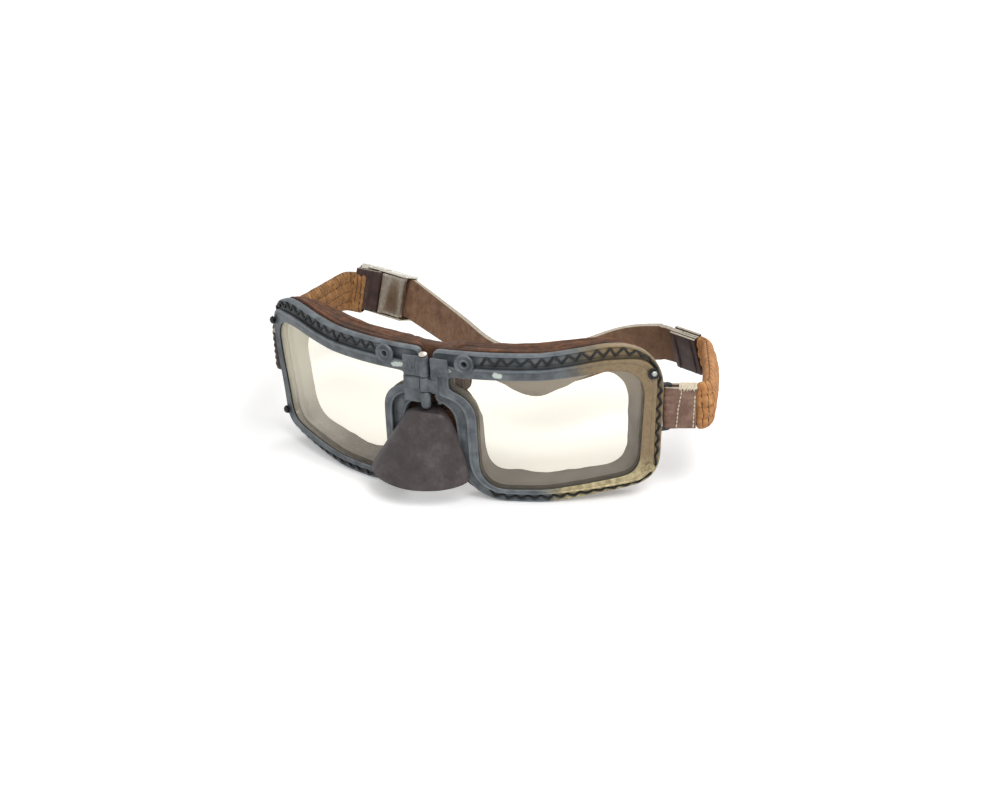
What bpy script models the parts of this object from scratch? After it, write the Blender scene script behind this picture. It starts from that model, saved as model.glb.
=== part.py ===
"""Vintage flying goggles: two hinged wrap-round eye frames and a spring-band head strap.

Right and left are the wearer's. The goggles face -Y, so the wearer's left eye is on +X.
Eye pieces are drawn on the unrolled face (along, up, proud) and bent onto the face curve.
Strap pieces are drawn in plan behind the face, on the +X side, and mirrored for the right.
"""
import math

import bmesh
import bpy
import numpy as np
from mathutils import Matrix, Vector

MM = 0.001

# Clearances
GAP = 0.3 * MM
OVERRUN = 1.0 * MM

# Eye frame, measured along the bent face from the hinge and up from the table
FRAME_WIDTH = 88.0 * MM
FRAME_HEIGHT = 62.5 * MM
FACE_RADIUS = 95.5 * MM
FACE_EASE_SHARE = 0.244
FACE_SPLAY = math.radians(-3)
SHEET = 0.9 * MM
LIP_DEPTH = 2.9 * MM
LIP_WALL = 0.9 * MM

# Lens and its seat
LENS_THICKNESS = 2.4 * MM
LENS_LAP = 1.5 * MM
LENS_STEP = 4.4 * MM
SEAT_WALL = 0.8 * MM

# Bezel
BEZEL_HEIGHT = 1.5 * MM
BEZEL_CHAMFER = 0.8 * MM

# Outlines as shares of the frame's width and height, each with a corner radius as a share of
# the height: top inner, top middle, top rise, top outer, bottom outer, bottom middle,
# bottom inner, nose arch, bridge foot
OUTER_SHARES = (
    (0.027, 0.945, 0.024), (0.50, 0.953, 0.0), (0.75, 0.998, 0.0),
    (0.995, 0.968, 0.085), (0.962, 0.020, 0.150), (0.50, 0.0, 0.0),
    (0.132, 0.0, 0.260), (0.116, 0.614, 0.115), (0.027, 0.614, 0.024),
)
BEZEL_SHARES = (
    (0.052, 0.866, 0.024), (0.50, 0.872, 0.0), (0.75, 0.918, 0.0),
    (0.968, 0.894, 0.070), (0.945, 0.080, 0.095), (0.50, 0.041, 0.0),
    (0.177, 0.040, 0.200), (0.171, 0.640, 0.130), (0.052, 0.670, 0.024),
)
OPENING_SHARES = (
    (0.101, 0.794, 0.020), (0.50, 0.800, 0.0), (0.75, 0.840, 0.0),
    (0.920, 0.826, 0.140), (0.892, 0.160, 0.095), (0.50, 0.086, 0.0),
    (0.218, 0.084, 0.140), (0.214, 0.650, 0.160), (0.101, 0.714, 0.020),
)
PAD_BACK_SHARES = (
    (0.100, 0.940, 0.045), (0.50, 0.950, 0.0), (0.75, 0.985, 0.0),
    (0.975, 0.940, 0.100), (0.915, 0.0, 0.120), (0.50, 0.0, 0.0),
    (0.165, 0.0, 0.250), (0.165, 0.640, 0.115), (0.100, 0.660, 0.040),
)
CUP_BACK_SHARES = (
    (0.165, 0.735, 0.045), (0.48, 0.660, 0.0), (0.72, 0.780, 0.0),
    (0.860, 0.760, 0.120), (0.850, 0.190, 0.120), (0.50, 0.130, 0.0),
    (0.255, 0.130, 0.150), (0.252, 0.560, 0.150), (0.165, 0.650, 0.030),
)
CORNER_STEPS = (2, 0, 0, 4, 4, 0, 4, 5, 2)
EDGE_STEPS = (6, 3, 2, 2, 5, 3, 2, 1, 1)

# Pad and eyecup lining
PAD_DEPTH = 8.6 * MM
PAD_CROWN_SHARE = 0.16
PAD_SWELL_SHARE = 0.6
LINING = 0.8 * MM

# Bridge hinge
PIN_RADIUS = 0.8 * MM
PIN_PROUD = 2.3 * MM
PIN_HEAD = 1.3 * MM
KNUCKLE_RADIUS = 1.85 * MM
KNUCKLE_HEIGHT_SHARES = (0.1088, 0.0896, 0.1264)
KNUCKLE_FOOT_SHARE = 0.5824
LEAF = 0.9 * MM
LEAF_TOE = 0.8 * MM
LEAF_CLEAR = 2.6 * MM
UPPER_LEAF_SHARES = {"left": 0.1125, "right": 0.1227}
SPINE_LEAF_SHARES = {"left": 0.0636, "right": 0.0966}
TOE_LEAF_SHARE = 0.0659
UPPER_LEAF_STEP = 1.9 * MM

# Fasteners
EYELET_RADIUS = 3.7 * MM
EYELET_BORE = 1.4 * MM
EYELET_WALL = 0.5 * MM
EYELET_HEIGHT = 1.2 * MM
EYELET_SHARES = (0.180, 0.898)
SCREW_RADIUS = 1.8 * MM
SCREW_SHANK = 0.5 * MM
SCREW_HEAD = 1.1 * MM
SCREW_SHARES = {"top": (0.948, 0.806), "bottom": (0.934, 0.200)}

# Lacing
LACE_RADIUS = 0.4 * MM
LACE_PITCH = 4.4 * MM
LACE_START_SHARE = 0.245
LACE_TIP = 0.6 * MM

# Strap loops and leather tabs
WIRE_RADIUS = 0.9 * MM
WIRE_REACH = 3.0 * MM
WIRE_SPAN = 23.0 * MM
STRAP_LEVEL = 35.0 * MM
TAB_LEATHER = 1.2 * MM
TAB_WIDTH = 17.6 * MM
FRONT_TAB_LENGTH = 9.3 * MM
FRONT_TAB_TURNS = {"left": math.radians(18), "right": math.radians(63)}
TONGUE_LENGTH = 5.0 * MM
REAR_TAB_LENGTH = 13.0 * MM
STRAP_POCKET = 4.5 * MM
BUCKLE_TAB_LENGTH = 10.5 * MM
BUCKLE_TAB_TURN = math.radians(-30)

# Spring bands
BAND_HEIGHT = 18.6 * MM
BAND_THICKNESS = 6.2 * MM
BAND_WALL = 0.55 * MM
BAND_CORNER = 4.5 * MM
BAND_EASE = 4.0 * MM
BAND_STATIONS = 24
TONGUE_HEIGHT = 14.2 * MM
CHANNELS = 4
CHANNEL_STEPS = 3
RUCK_SHARE = 0.12
SPRING_RADIUS = 1.2 * MM
SPRING_WIRE = 0.25 * MM
SPRING_TURNS = 7
SPRING_TURN_STEPS = 6
SPRING_SETBACK = 5.0 * MM

# Where the strap lies behind the hinge, in shares of the loop's width and depth
LOOP_WIDTH = 186.0 * MM
LOOP_DEPTH = 110.0 * MM
REAR_TAB_SHARES = (0.431, 0.728)
REAR_TAB_TURN = math.radians(156)
BAND_MIDDLE_SHARES = {"left": (0.490, 0.500), "right": (0.503, 0.575)}
STRAP_ROUTE_SHARES = (
    (0.306, 0.795), (0.254, 0.735), (0.226, 0.640), (0.188, 0.520),
    (0.124, 0.448), (0.043, 0.468), (-0.020, 0.538), (-0.083, 0.641), (-0.163, 0.744),
    (-0.236, 0.822),
)
STRAP_LEVEL_SHARES = (0.93, 0.92, 0.91, 0.90, 0.89, 0.89, 0.89, 0.90, 0.91, 0.925)
STRAP_LEAN_SHARES = (0.0, 0.0, 0.0, 0.0, 0.0, 0.0, 0.0, 0.0, 0.2, 0.5)
REAR_TAB_LEVEL_SHARE = 0.94
BUCKLE_SHARES = (-0.376, 0.948)
BUCKLE_LEVEL_SHARE = 0.955
BUCKLE_TURN = math.radians(162)
BUCKLE_LEAN = math.radians(18)
STRAP_WIDTH = 17.0 * MM
STRAP_THICKNESS = 1.8 * MM
STRAP_RUN_IN = 20.0 * MM
STRAP_TIP = 22.0 * MM
STRAP_TIP_SLANT = 2.5 * MM
STRAP_STEPS = 3

# Buckle
BUCKLE_LENGTH = 25.0 * MM
BUCKLE_PLATE = 0.8 * MM
BUCKLE_SIDE_ROOM = 0.6 * MM
CHEEK_DEPTH = 5.6 * MM
TAB_BAR_ALONG = 4.6 * MM
TAB_BAR_DEPTH = 4.3 * MM
LEVER_ALONG = -9.0 * MM
LEVER_DEPTH = 3.1 * MM
LEVER_LENGTH = 9.5 * MM
LEVER_THICKNESS = 0.9 * MM
LEVER_KNUCKLE = 1.6 * MM
LEVER_PIN = 0.7 * MM
LEVER_LIP = 2.0 * MM
KEEPER_LENGTH = 4.0 * MM
KEEPER_WALL = 0.8 * MM
KEEPER_AHEAD = 17.0 * MM

# Nose flap and the suede across the bridge
FLAP_LEATHER = 1.5 * MM
FLAP_PROUD = 3.4 * MM
FLAP_ROOM = 0.35 * MM
FLAP_TOP_LEVEL = KNUCKLE_FOOT_SHARE * FRAME_HEIGHT - FLAP_LEATHER / 2 - FLAP_ROOM
FLAP_TOP_HALF = 3.2 * MM
FLAP_TOP_BULGE = 1.0 * MM
FLAP_FOOT_LEVEL = 8.0 * MM
FLAP_FOOT_HALF = 18.0 * MM
FLAP_FOOT_BULGE = 10.6 * MM
FLAP_SKEW = 3.0 * MM
FLAP_TAIL = 9.8 * MM
BRIDGE_SUEDE = 1.6 * MM
BRIDGE_DEPTH = 9.2 * MM
BRIDGE_HALF = 4.9 * MM
BRIDGE_TOP_SHARE = 0.896

SIDES = {"left": 1, "right": -1}
UP = Vector((0.0, 0.0, 1.0))

COLOURS = {
    "painted_brass": ((0.030, 0.036, 0.042, 1), 0.45, 0.6),
    "glass": ((0.90, 0.88, 0.80, 1), 0.05, 0.0),
    "nickel": ((0.60, 0.58, 0.54, 1), 0.25, 1.0),
    "black_cord": ((0.012, 0.012, 0.014, 1), 0.8, 0.0),
    "brown_suede": ((0.170, 0.075, 0.040, 1), 0.9, 0.0),
    "tan_suede": ((0.420, 0.200, 0.080, 1), 0.9, 0.0),
    "lining_cloth": ((0.230, 0.180, 0.160, 1), 0.9, 0.0),
    "dark_leather": ((0.055, 0.030, 0.026, 1), 0.6, 0.0),
    "strap_leather": ((0.180, 0.100, 0.065, 1), 0.75, 0.0),
    "spring_steel": ((0.45, 0.45, 0.46, 1), 0.3, 1.0),
}


def clear_scene():
    for thing in list(bpy.data.objects):
        bpy.data.objects.remove(thing, do_unlink=True)
    for group in list(bpy.data.collections):
        bpy.data.collections.remove(group)


def collection(name):
    group = bpy.data.collections.new(name)
    bpy.context.scene.collection.children.link(group)
    return group


clear_scene()
GOGGLES = collection("flying_goggles")
CUTTERS = collection("cutters")
AXES = {}


# Making, naming and carrying pieces

def material(node, finish):
    """One Principled material for one piece, in its finish's colour."""
    colour, roughness, metallic = COLOURS[finish]
    made = bpy.data.materials.new(node)
    made.use_nodes = True
    shader = made.node_tree.nodes["Principled BSDF"]
    shader.inputs["Base Color"].default_value = colour
    shader.inputs["Roughness"].default_value = roughness
    shader.inputs["Metallic"].default_value = metallic
    return made


def add_axis(name, place, parent=None):
    """An empty on a joint's axis, which carries the pieces that turn about it."""
    empty = bpy.data.objects.new(name, None)
    empty.location = Vector(place) - (AXES[parent][1] if parent else Vector())
    if parent:
        empty.parent = AXES[parent][0]
    GOGGLES.objects.link(empty)
    AXES[name] = (empty, Vector(place))


def hang(thing, axis, place=None):
    """Parent a piece to an axis, with its place in its mesh or in the matrix given."""
    empty, spot = AXES[axis]
    thing.parent = empty
    if place is None:
        thing.data.transform(Matrix.Translation(-spot))
    else:
        thing.matrix_local = Matrix.Translation(-spot) @ place


def carry(thing, name, finish, axis, place=None):
    """Name a piece, give it its material and hang it on its axis."""
    thing.name = name
    thing.data.name = name
    hang(thing, axis, place)
    thing.data.materials.append(material(name, finish))
    GOGGLES.objects.link(thing)
    return thing


def mesh_object(bm, smooth=40):
    """A bmesh as an object, shaded smooth up to an angle in degrees."""
    bmesh.ops.recalc_face_normals(bm, faces=bm.faces)
    mesh = bpy.data.meshes.new("piece")
    bm.to_mesh(mesh)
    bm.free()
    mesh.shade_smooth()
    mesh.set_sharp_from_angle(angle=math.radians(smooth))
    return bpy.data.objects.new("piece", mesh)


def shape(maker, *args, **kwargs):
    """An object from one bmesh shape function."""
    bm = bmesh.new()
    maker(bm, *args, **kwargs)
    return mesh_object(bm)


def solidify(thing, thickness, even=True):
    """Give an open surface its wall, half to each side."""
    wall = thing.modifiers.new("wall", "SOLIDIFY")
    wall.thickness = thickness
    wall.offset = 0.0
    wall.use_even_offset = even


def boolean(thing, other, operation, axis):
    """Cut or join one closed shape with another that lies in the same place."""
    other.display_type = "WIRE"
    other.hide_render = True
    hang(other, axis)
    CUTTERS.objects.link(other)
    change = thing.modifiers.new(operation.lower(), "BOOLEAN")
    change.operation = operation
    change.solver = "EXACT"
    change.object = other


def loft(bm, loops, ring=False, closed=True):
    """Join loops of points one to the next, with caps on the ends unless it is a ring."""
    rows = [[bm.verts.new(point) for point in loop] for loop in loops]
    pairs = list(zip(rows, rows[1:] + rows[:1])) if ring else list(zip(rows, rows[1:]))
    for near, far in pairs:
        count = len(near)
        for i in range(count if closed else count - 1):
            j = (i + 1) % count
            bm.faces.new((near[i], near[j], far[j], far[i]))
    if closed and not ring:
        bm.faces.new(rows[0])
        bm.faces.new(rows[-1])


def block(bm, low, high, place=Matrix()):
    """A box between two corners, put where a matrix says."""
    low, high = Vector(low), Vector(high)
    matrix = place @ Matrix.Translation((low + high) / 2) @ Matrix.Diagonal((*(high - low), 1.0))
    bmesh.ops.create_cube(bm, size=1.0, matrix=matrix)


def round_bar(bm, radius, low, high, sides=12, place=Matrix()):
    """A cylinder between two points, put where a matrix says."""
    low, high = Vector(low), Vector(high)
    run = high - low
    turn = run.to_track_quat("Z", "Y").to_matrix().to_4x4()
    matrix = place @ Matrix.Translation((low + high) / 2) @ turn
    bmesh.ops.create_cone(bm, cap_ends=True, segments=sides, radius1=radius, radius2=radius,
                          depth=run.length, matrix=matrix)


def tube(points, radius, resolution=2):
    """A wire or cord through points, with its ends filled."""
    data = bpy.data.curves.new("tube", "CURVE")
    data.dimensions = "3D"
    data.bevel_depth = radius
    data.bevel_resolution = resolution
    data.use_fill_caps = True
    spline = data.splines.new("POLY")
    spline.points.add(len(points) - 1)
    for i, point in enumerate(points):
        spline.points[i].co = (*point, 1.0)
    return bpy.data.objects.new("tube", data)


def turned(profile, steps, closed=False):
    """A profile of radii and heights, turned about Z."""
    bm = bmesh.new()
    points = [bm.verts.new((x, 0.0, z)) for x, z in profile]
    for a, b in zip(points, points[1:] + (points[:1] if closed else [])):
        bm.edges.new((a, b))
    mesh = bpy.data.meshes.new("profile")
    bm.to_mesh(mesh)
    bm.free()
    thing = bpy.data.objects.new("turned", mesh)
    turn = thing.modifiers.new("turn", "SCREW")
    turn.steps = steps
    turn.render_steps = steps
    turn.use_merge_vertices = True
    turn.merge_threshold = 0.00001
    turn.use_smooth_shade = True
    return thing


# The bent face

def face_table():
    """Plan points of the face curve and its heading, at even steps from the hinge."""
    run = np.linspace(0.0, 1.4 * FRAME_WIDTH, 561)
    heading = FACE_SPLAY + run / FACE_RADIUS * (1 - FACE_EASE_SHARE * run / FRAME_WIDTH)
    step = run[1] - run[0]
    mid = (heading[1:] + heading[:-1]) / 2
    across = np.concatenate([[0.0], np.cumsum(np.cos(mid) * step)])
    back = np.concatenate([[0.0], np.cumsum(np.sin(mid) * step)])
    return run, across, back, heading


FACE_RUN, FACE_ACROSS, FACE_BACK, FACE_HEADING = face_table()


def face_point(along, up, proud, side):
    """A point given along the face, up from the table and proud of the flange's front."""
    across = np.interp(along, FACE_RUN, FACE_ACROSS)
    back = np.interp(along, FACE_RUN, FACE_BACK)
    heading = np.interp(along, FACE_RUN, FACE_HEADING)
    x = across + proud * math.sin(heading)
    y = back - proud * math.cos(heading)
    return Vector((side * x, y, up))


def face_place(along, up, proud, side):
    """A matrix on the face whose Z points straight out of it."""
    heading = np.interp(along, FACE_RUN, FACE_HEADING)
    out = Vector((side * math.sin(heading), -math.cos(heading), 0.0))
    turn = out.to_track_quat("Z", "Y").to_matrix().to_4x4()
    return Matrix.Translation(face_point(along, up, proud, side)) @ turn


def fillet(before, corner, after, radius, steps):
    """Points of a corner rounded to a radius, or the corner itself."""
    if not steps:
        return [corner]
    to_before = (before - corner).normalized()
    to_after = (after - corner).normalized()
    half = to_before.angle(to_after) / 2
    centre = corner + (to_before + to_after).normalized() * (radius / math.sin(half))
    start = corner + to_before * (radius / math.tan(half)) - centre
    end = corner + to_after * (radius / math.tan(half)) - centre
    sweep = start.angle(end)
    points = []
    for i in range(steps + 1):
        first = math.sin((1 - i / steps) * sweep) / math.sin(sweep)
        second = math.sin(i / steps * sweep) / math.sin(sweep)
        points.append(centre + start * first + end * second)
    return points


def outline(shares):
    """An outline on the unrolled face. Every outline has as many points, in the same order."""
    corners = [Vector((a * FRAME_WIDTH, b * FRAME_HEIGHT)) for a, b, _ in shares]
    count = len(corners)
    arcs = []
    for i, corner in enumerate(corners):
        radius = shares[i][2] * FRAME_HEIGHT
        after = corners[(i + 1) % count]
        arcs.append(fillet(corners[i - 1], corner, after, radius, CORNER_STEPS[i]))
    points = []
    for i, arc in enumerate(arcs):
        start, end = arc[-1], arcs[(i + 1) % count][0]
        points.extend(arc)
        points.extend(start.lerp(end, k / EDGE_STEPS[i]) for k in range(1, EDGE_STEPS[i]))
    return points


def grown(points, reach):
    """An outline moved outward by a distance, or inward by a negative one."""
    count = len(points)
    moved = []
    for i, point in enumerate(points):
        before = (point - points[i - 1]).normalized()
        after = (points[(i + 1) % count] - point).normalized()
        side = Vector((-(before + after).y, (before + after).x)).normalized()
        slant = max(side.dot(Vector((-after.y, after.x))), 0.5)
        moved.append(point + side * (reach / slant))
    return moved


def blended(first, second, share):
    return [a.lerp(b, share) for a, b in zip(first, second)]


def bent(points, proud, side):
    """An unrolled outline laid on the face."""
    return [face_point(point.x, point.y, proud, side) for point in points]


OUTER = outline(OUTER_SHARES)
BEZEL = outline(BEZEL_SHARES)
OPENING = outline(OPENING_SHARES)
PAD_BACK = outline(PAD_BACK_SHARES)
CUP_BACK = outline(CUP_BACK_SHARES)

LENS_BACK = -LENS_THICKNESS
LEDGE_FRONT = LENS_BACK - GAP
LEDGE_BACK = LEDGE_FRONT - SHEET
BEZEL_FRONT = GAP + BEZEL_HEIGHT
PAD_FRONT = LEDGE_BACK - GAP
PAD_REAR = PAD_FRONT - PAD_DEPTH
EYELET_PLACE = (EYELET_SHARES[0] * FRAME_WIDTH, EYELET_SHARES[1] * FRAME_HEIGHT)


# Eye frame, bezel, lens, pad and lining

def ring_piece(loops, side):
    """A closed ring through loops of an outline and how proud it lies."""
    bm = bmesh.new()
    loft(bm, [bent(points, proud, side) for points, proud in loops], ring=True)
    return mesh_object(bm)


def fastener_cuts(thing, side, axis):
    """The eyelet's hole and the two screws' holes."""
    holes = [(EYELET_PLACE, EYELET_BORE + EYELET_WALL + GAP)]
    for along_share, up_share in SCREW_SHARES.values():
        holes.append(((along_share * FRAME_WIDTH, up_share * FRAME_HEIGHT), SCREW_SHANK + GAP))
    for (along, up), radius in holes:
        low = (0.0, 0.0, -SHEET - OVERRUN)
        high = (0.0, 0.0, BEZEL_FRONT + OVERRUN)
        place = face_place(along, up, 0.0, side)
        cutter = shape(round_bar, radius, low, high, sides=10, place=place)
        boolean(thing, cutter, "DIFFERENCE", axis)


def eye_frame(side_name, axis):
    """The pressed flange with its turned-back lip and the stepped seat behind the lens."""
    side = SIDES[side_name]
    seat = grown(OPENING, LENS_LAP + GAP)
    inner_lip = grown(OUTER, -LIP_WALL)
    seat_back = grown(seat, SEAT_WALL)
    loops = (
        (OPENING, LEDGE_BACK), (OPENING, LEDGE_FRONT), (seat, LEDGE_FRONT), (seat, 0.0),
        (OUTER, 0.0), (OUTER, -LIP_DEPTH), (inner_lip, -LIP_DEPTH), (inner_lip, -SHEET),
        (seat_back, -SHEET), (seat_back, LEDGE_BACK),
    )
    frame = carry(ring_piece(loops, side), f"eye_frame_{side_name}", "painted_brass", axis)
    fastener_cuts(frame, side, axis)


def bezel(side_name, axis):
    """The front ring that holds the lens down, with bevelled edges."""
    side = SIDES[side_name]
    shoulder = BEZEL_FRONT - BEZEL_CHAMFER
    loops = (
        (OPENING, GAP), (OPENING, shoulder), (grown(OPENING, BEZEL_CHAMFER), BEZEL_FRONT),
        (grown(BEZEL, -BEZEL_CHAMFER), BEZEL_FRONT), (BEZEL, shoulder), (BEZEL, GAP),
    )
    ring = carry(ring_piece(loops, side), f"bezel_{side_name}", "painted_brass", axis)
    fastener_cuts(ring, side, axis)


def lens(side_name, axis):
    """The bent glass, lapped by the bezel all round."""
    edge = grown(OPENING, LENS_LAP)
    bm = bmesh.new()
    bm.faces.new([bm.verts.new((point.x, point.y, 0.0)) for point in edge])
    for i in range(1, round(FRAME_WIDTH / LENS_STEP)):
        whole = bm.verts[:] + bm.edges[:] + bm.faces[:]
        bmesh.ops.bisect_plane(bm, geom=whole, dist=GAP / 100, plane_no=(1, 0, 0),
                               plane_co=(i * LENS_STEP, 0.0, 0.0))
    bmesh.ops.triangulate(bm, faces=bm.faces[:])
    grown_back = bmesh.ops.extrude_face_region(bm, geom=bm.faces[:])["geom"]
    back = [part for part in grown_back if isinstance(part, bmesh.types.BMVert)]
    bmesh.ops.translate(bm, verts=back, vec=(0.0, 0.0, LENS_BACK))
    for vertex in bm.verts:
        vertex.co = face_point(*vertex.co, SIDES[side_name])
    carry(mesh_object(bm), f"lens_{side_name}", "glass", axis)


def pad(side_name, axis):
    """The stuffed suede roll between the frame and the face."""
    cup = grown(CUP_BACK, LINING + GAP)
    crown = PAD_DEPTH * PAD_CROWN_SHARE
    middle = (PAD_FRONT + PAD_REAR) / 2
    loops = (
        (grown(OPENING, LINING + 2 * GAP), PAD_FRONT), (cup, PAD_REAR + crown),
        (grown(cup, crown), PAD_REAR), (grown(PAD_BACK, -crown), PAD_REAR),
        (PAD_BACK, PAD_REAR + crown),
        (blended(OUTER, PAD_BACK, PAD_SWELL_SHARE), middle - crown),
        (grown(OUTER, -GAP), PAD_FRONT),
    )
    roll = ring_piece(loops, SIDES[side_name])
    carry(roll, f"face_pad_{side_name}", "brown_suede", axis)


def lining(side_name, axis):
    """The cloth curtain inside the eyecup, drawn in towards the eye."""
    hem = PAD_REAR + PAD_DEPTH * PAD_CROWN_SHARE
    outside = grown(CUP_BACK, LINING)
    loops = (
        (grown(OPENING, GAP), PAD_FRONT), (grown(OPENING, LINING + GAP), PAD_FRONT),
        (outside, hem), (outside, PAD_REAR), (CUP_BACK, PAD_REAR), (CUP_BACK, hem),
    )
    curtain = ring_piece(loops, SIDES[side_name])
    carry(curtain, f"eyecup_lining_{side_name}", "lining_cloth", axis)


# Bridge hinge

PIN_PLACE = Vector((0.0, -PIN_PROUD, 0.0))
KNUCKLE_FOOT = FRAME_HEIGHT * KNUCKLE_FOOT_SHARE
LEAF_BACK = BEZEL_FRONT + GAP


def knuckle_spans():
    """Low and high ends of the three knuckles, bottom to top."""
    spans = []
    low = KNUCKLE_FOOT
    for share in KNUCKLE_HEIGHT_SHARES:
        spans.append((low, low + share * FRAME_HEIGHT))
        low = spans[-1][1] + GAP
    return spans


def leaf_plate(bm, side, along, up):
    """A flat plate that lies over the bezel and bends with the face."""
    rows = []
    for share in (0.0, 0.5, 1.0):
        at = along[0] + (along[1] - along[0]) * share
        rows.append([face_point(at, up[0], LEAF_BACK, side),
                     face_point(at, up[1], LEAF_BACK, side),
                     face_point(at, up[1], LEAF_BACK + LEAF, side),
                     face_point(at, up[0], LEAF_BACK + LEAF, side)])
    loft(bm, rows)


def hinge_leaf(side_name, axis):
    """A leaf with its knuckles, bored for the pin. The right has two knuckles, the left one."""
    side = SIDES[side_name]
    spans = knuckle_spans()
    bottom, middle, top = spans
    own = [middle] if side_name == "left" else [bottom, top]
    spine_foot = middle[0] if side_name == "left" else bottom[0] + UPPER_LEAF_STEP
    plates = [
        ((LEAF_CLEAR, SPINE_LEAF_SHARES[side_name] * FRAME_WIDTH), (spine_foot, top[1] - UPPER_LEAF_STEP)),
        ((LEAF_CLEAR, UPPER_LEAF_SHARES[side_name] * FRAME_WIDTH), (top[0] + UPPER_LEAF_STEP, top[1])),
    ]
    for low, high in own:
        foot = max(low, spine_foot) + GAP
        plates.append(((LEAF_TOE, TOE_LEAF_SHARE * FRAME_WIDTH), (foot, high - GAP)))
    leaf = shape(round_bar, KNUCKLE_RADIUS, PIN_PLACE + Vector((0, 0, own[0][0])),
                 PIN_PLACE + Vector((0, 0, own[0][1])), sides=14)
    carry(leaf, f"hinge_leaf_{side_name}", "painted_brass", axis)
    for low, high in own[1:]:
        knuckle = shape(round_bar, KNUCKLE_RADIUS, PIN_PLACE + Vector((0, 0, low)),
                        PIN_PLACE + Vector((0, 0, high)), sides=14)
        boolean(leaf, knuckle, "UNION", axis)
    for along, up in plates:
        boolean(leaf, shape(leaf_plate, side, along, up), "UNION", axis)
    bore = shape(round_bar, PIN_RADIUS + GAP, PIN_PLACE + Vector((0, 0, bottom[0] - OVERRUN)),
                 PIN_PLACE + Vector((0, 0, top[1] + OVERRUN)), sides=14)
    boolean(leaf, bore, "DIFFERENCE", axis)


def hinge_pin(axis):
    """The pin, with a round head on top."""
    top = knuckle_spans()[-1][1] + GAP
    profile = (
        (0.0, top + PIN_HEAD), (KNUCKLE_RADIUS * 0.6, top + PIN_HEAD),
        (KNUCKLE_RADIUS, top + PIN_HEAD / 2), (KNUCKLE_RADIUS, top), (PIN_RADIUS, top),
        (PIN_RADIUS, KNUCKLE_FOOT), (0.0, KNUCKLE_FOOT),
    )
    pin = turned(profile, 12)
    carry(pin, "hinge_pin", "nickel", axis, Matrix.Translation(PIN_PLACE))


# Fasteners and lacing

def eyelet(side_name, axis):
    """The hollow eyelet near the bridge, rolled over on both faces."""
    wall = EYELET_BORE + EYELET_WALL
    head = GAP + EYELET_HEIGHT
    tail = -BEZEL_FRONT - SHEET - GAP
    profile = (
        (EYELET_BORE, head - EYELET_WALL), (EYELET_BORE + EYELET_WALL, head),
        (EYELET_RADIUS - EYELET_WALL, head), (EYELET_RADIUS, head - EYELET_WALL),
        (EYELET_RADIUS, GAP), (wall, GAP), (wall, tail), (EYELET_BORE, tail),
    )
    ring = turned(profile, 16, closed=True)
    place = face_place(*EYELET_PLACE, BEZEL_FRONT, SIDES[side_name])
    carry(ring, f"bridge_eyelet_{side_name}", "painted_brass", axis, place)


def screw(side_name, where, axis):
    """A round-headed screw through the bezel and the flange."""
    along_share, up_share = SCREW_SHARES[where]
    head = GAP + SCREW_HEAD
    tail = -BEZEL_FRONT - SHEET - GAP
    profile = (
        (0.0, head), (SCREW_RADIUS * 0.55, head), (SCREW_RADIUS, GAP + SCREW_HEAD / 2),
        (SCREW_RADIUS, GAP), (SCREW_SHANK, GAP), (SCREW_SHANK, tail), (0.0, tail),
    )
    stud = turned(profile, 12)
    place = face_place(along_share * FRAME_WIDTH, up_share * FRAME_HEIGHT, BEZEL_FRONT,
                       SIDES[side_name])
    carry(stud, f"{where}_screw_{side_name}", "painted_brass", axis, place)


def mitred(bm, points, radius, sides=4):
    """A cord with straight runs and mitred corners, so that each of its faces is flat."""
    headings = [(b - a).normalized() for a, b in zip(points, points[1:])]
    turn = headings[0].to_track_quat("Z", "Y").to_matrix()
    angles = [math.tau * i / sides for i in range(sides)]
    ring = [points[0] + turn @ Vector((radius * math.cos(a), radius * math.sin(a), 0.0))
            for a in angles]
    rings = [ring]
    for corner, heading, after in zip(points[1:], headings, headings[1:] + headings[-1:]):
        normal = (heading + after).normalized()
        ring = [v + heading * ((corner - v).dot(normal) / heading.dot(normal)) for v in ring]
        rings.append(ring)
    loft(bm, rings)


def on_line(points, run, at):
    """The point of a line at a distance along it."""
    return Vector((np.interp(at, run, [point.x for point in points]),
                   np.interp(at, run, [point.y for point in points])))


def lacing(side_name, axis):
    """The black cord that zigzags round the flange between the bezel and the lip."""
    side = SIDES[side_name]
    room = LACE_RADIUS + GAP
    start = LACE_START_SHARE * FRAME_WIDTH
    inner, outer = grown(BEZEL, room), grown(OUTER, -room)
    pairs = [(a, b) for a, b in zip(inner, outer) if a.x > start]
    middles = [a.lerp(b, 0.5) for a, b in pairs]
    steps = [(b - a).length for a, b in zip(middles, middles[1:])]
    run = np.concatenate([[0.0], np.cumsum(steps)])
    count = round(2 * run[-1] / LACE_PITCH)
    points = []
    for i in range(count + 1):
        at = run[-1] * i / count
        centre = on_line(middles, run, at)
        ahead = on_line(middles, run, at + LACE_TIP) - on_line(middles, run, at - LACE_TIP)
        across = Vector((-ahead.y, ahead.x)).normalized()
        reach = (on_line([pair[i % 2] for pair in pairs], run, at) - centre).dot(across)
        for share in (-0.5, 0.5):
            spot = centre + across * reach + ahead * share
            points.append(face_point(spot.x, spot.y, room, side))
    cord = shape(mitred, points, LACE_RADIUS)
    carry(cord, f"lacing_{side_name}", "black_cord", axis)


# Strap loops and leather tabs

BAR_ALONG = FRAME_WIDTH + WIRE_REACH
BAR_PROUD = -LIP_DEPTH / 2
TAB_ROOM = WIRE_RADIUS + GAP


def outer_edge(up):
    """How far along the flange's outer edge lies at a height."""
    top, bottom = OUTER_SHARES[3], OUTER_SHARES[4]
    share = (up / FRAME_HEIGHT - bottom[1]) / (top[1] - bottom[1])
    return (bottom[0] + (top[0] - bottom[0]) * share) * FRAME_WIDTH


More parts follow.
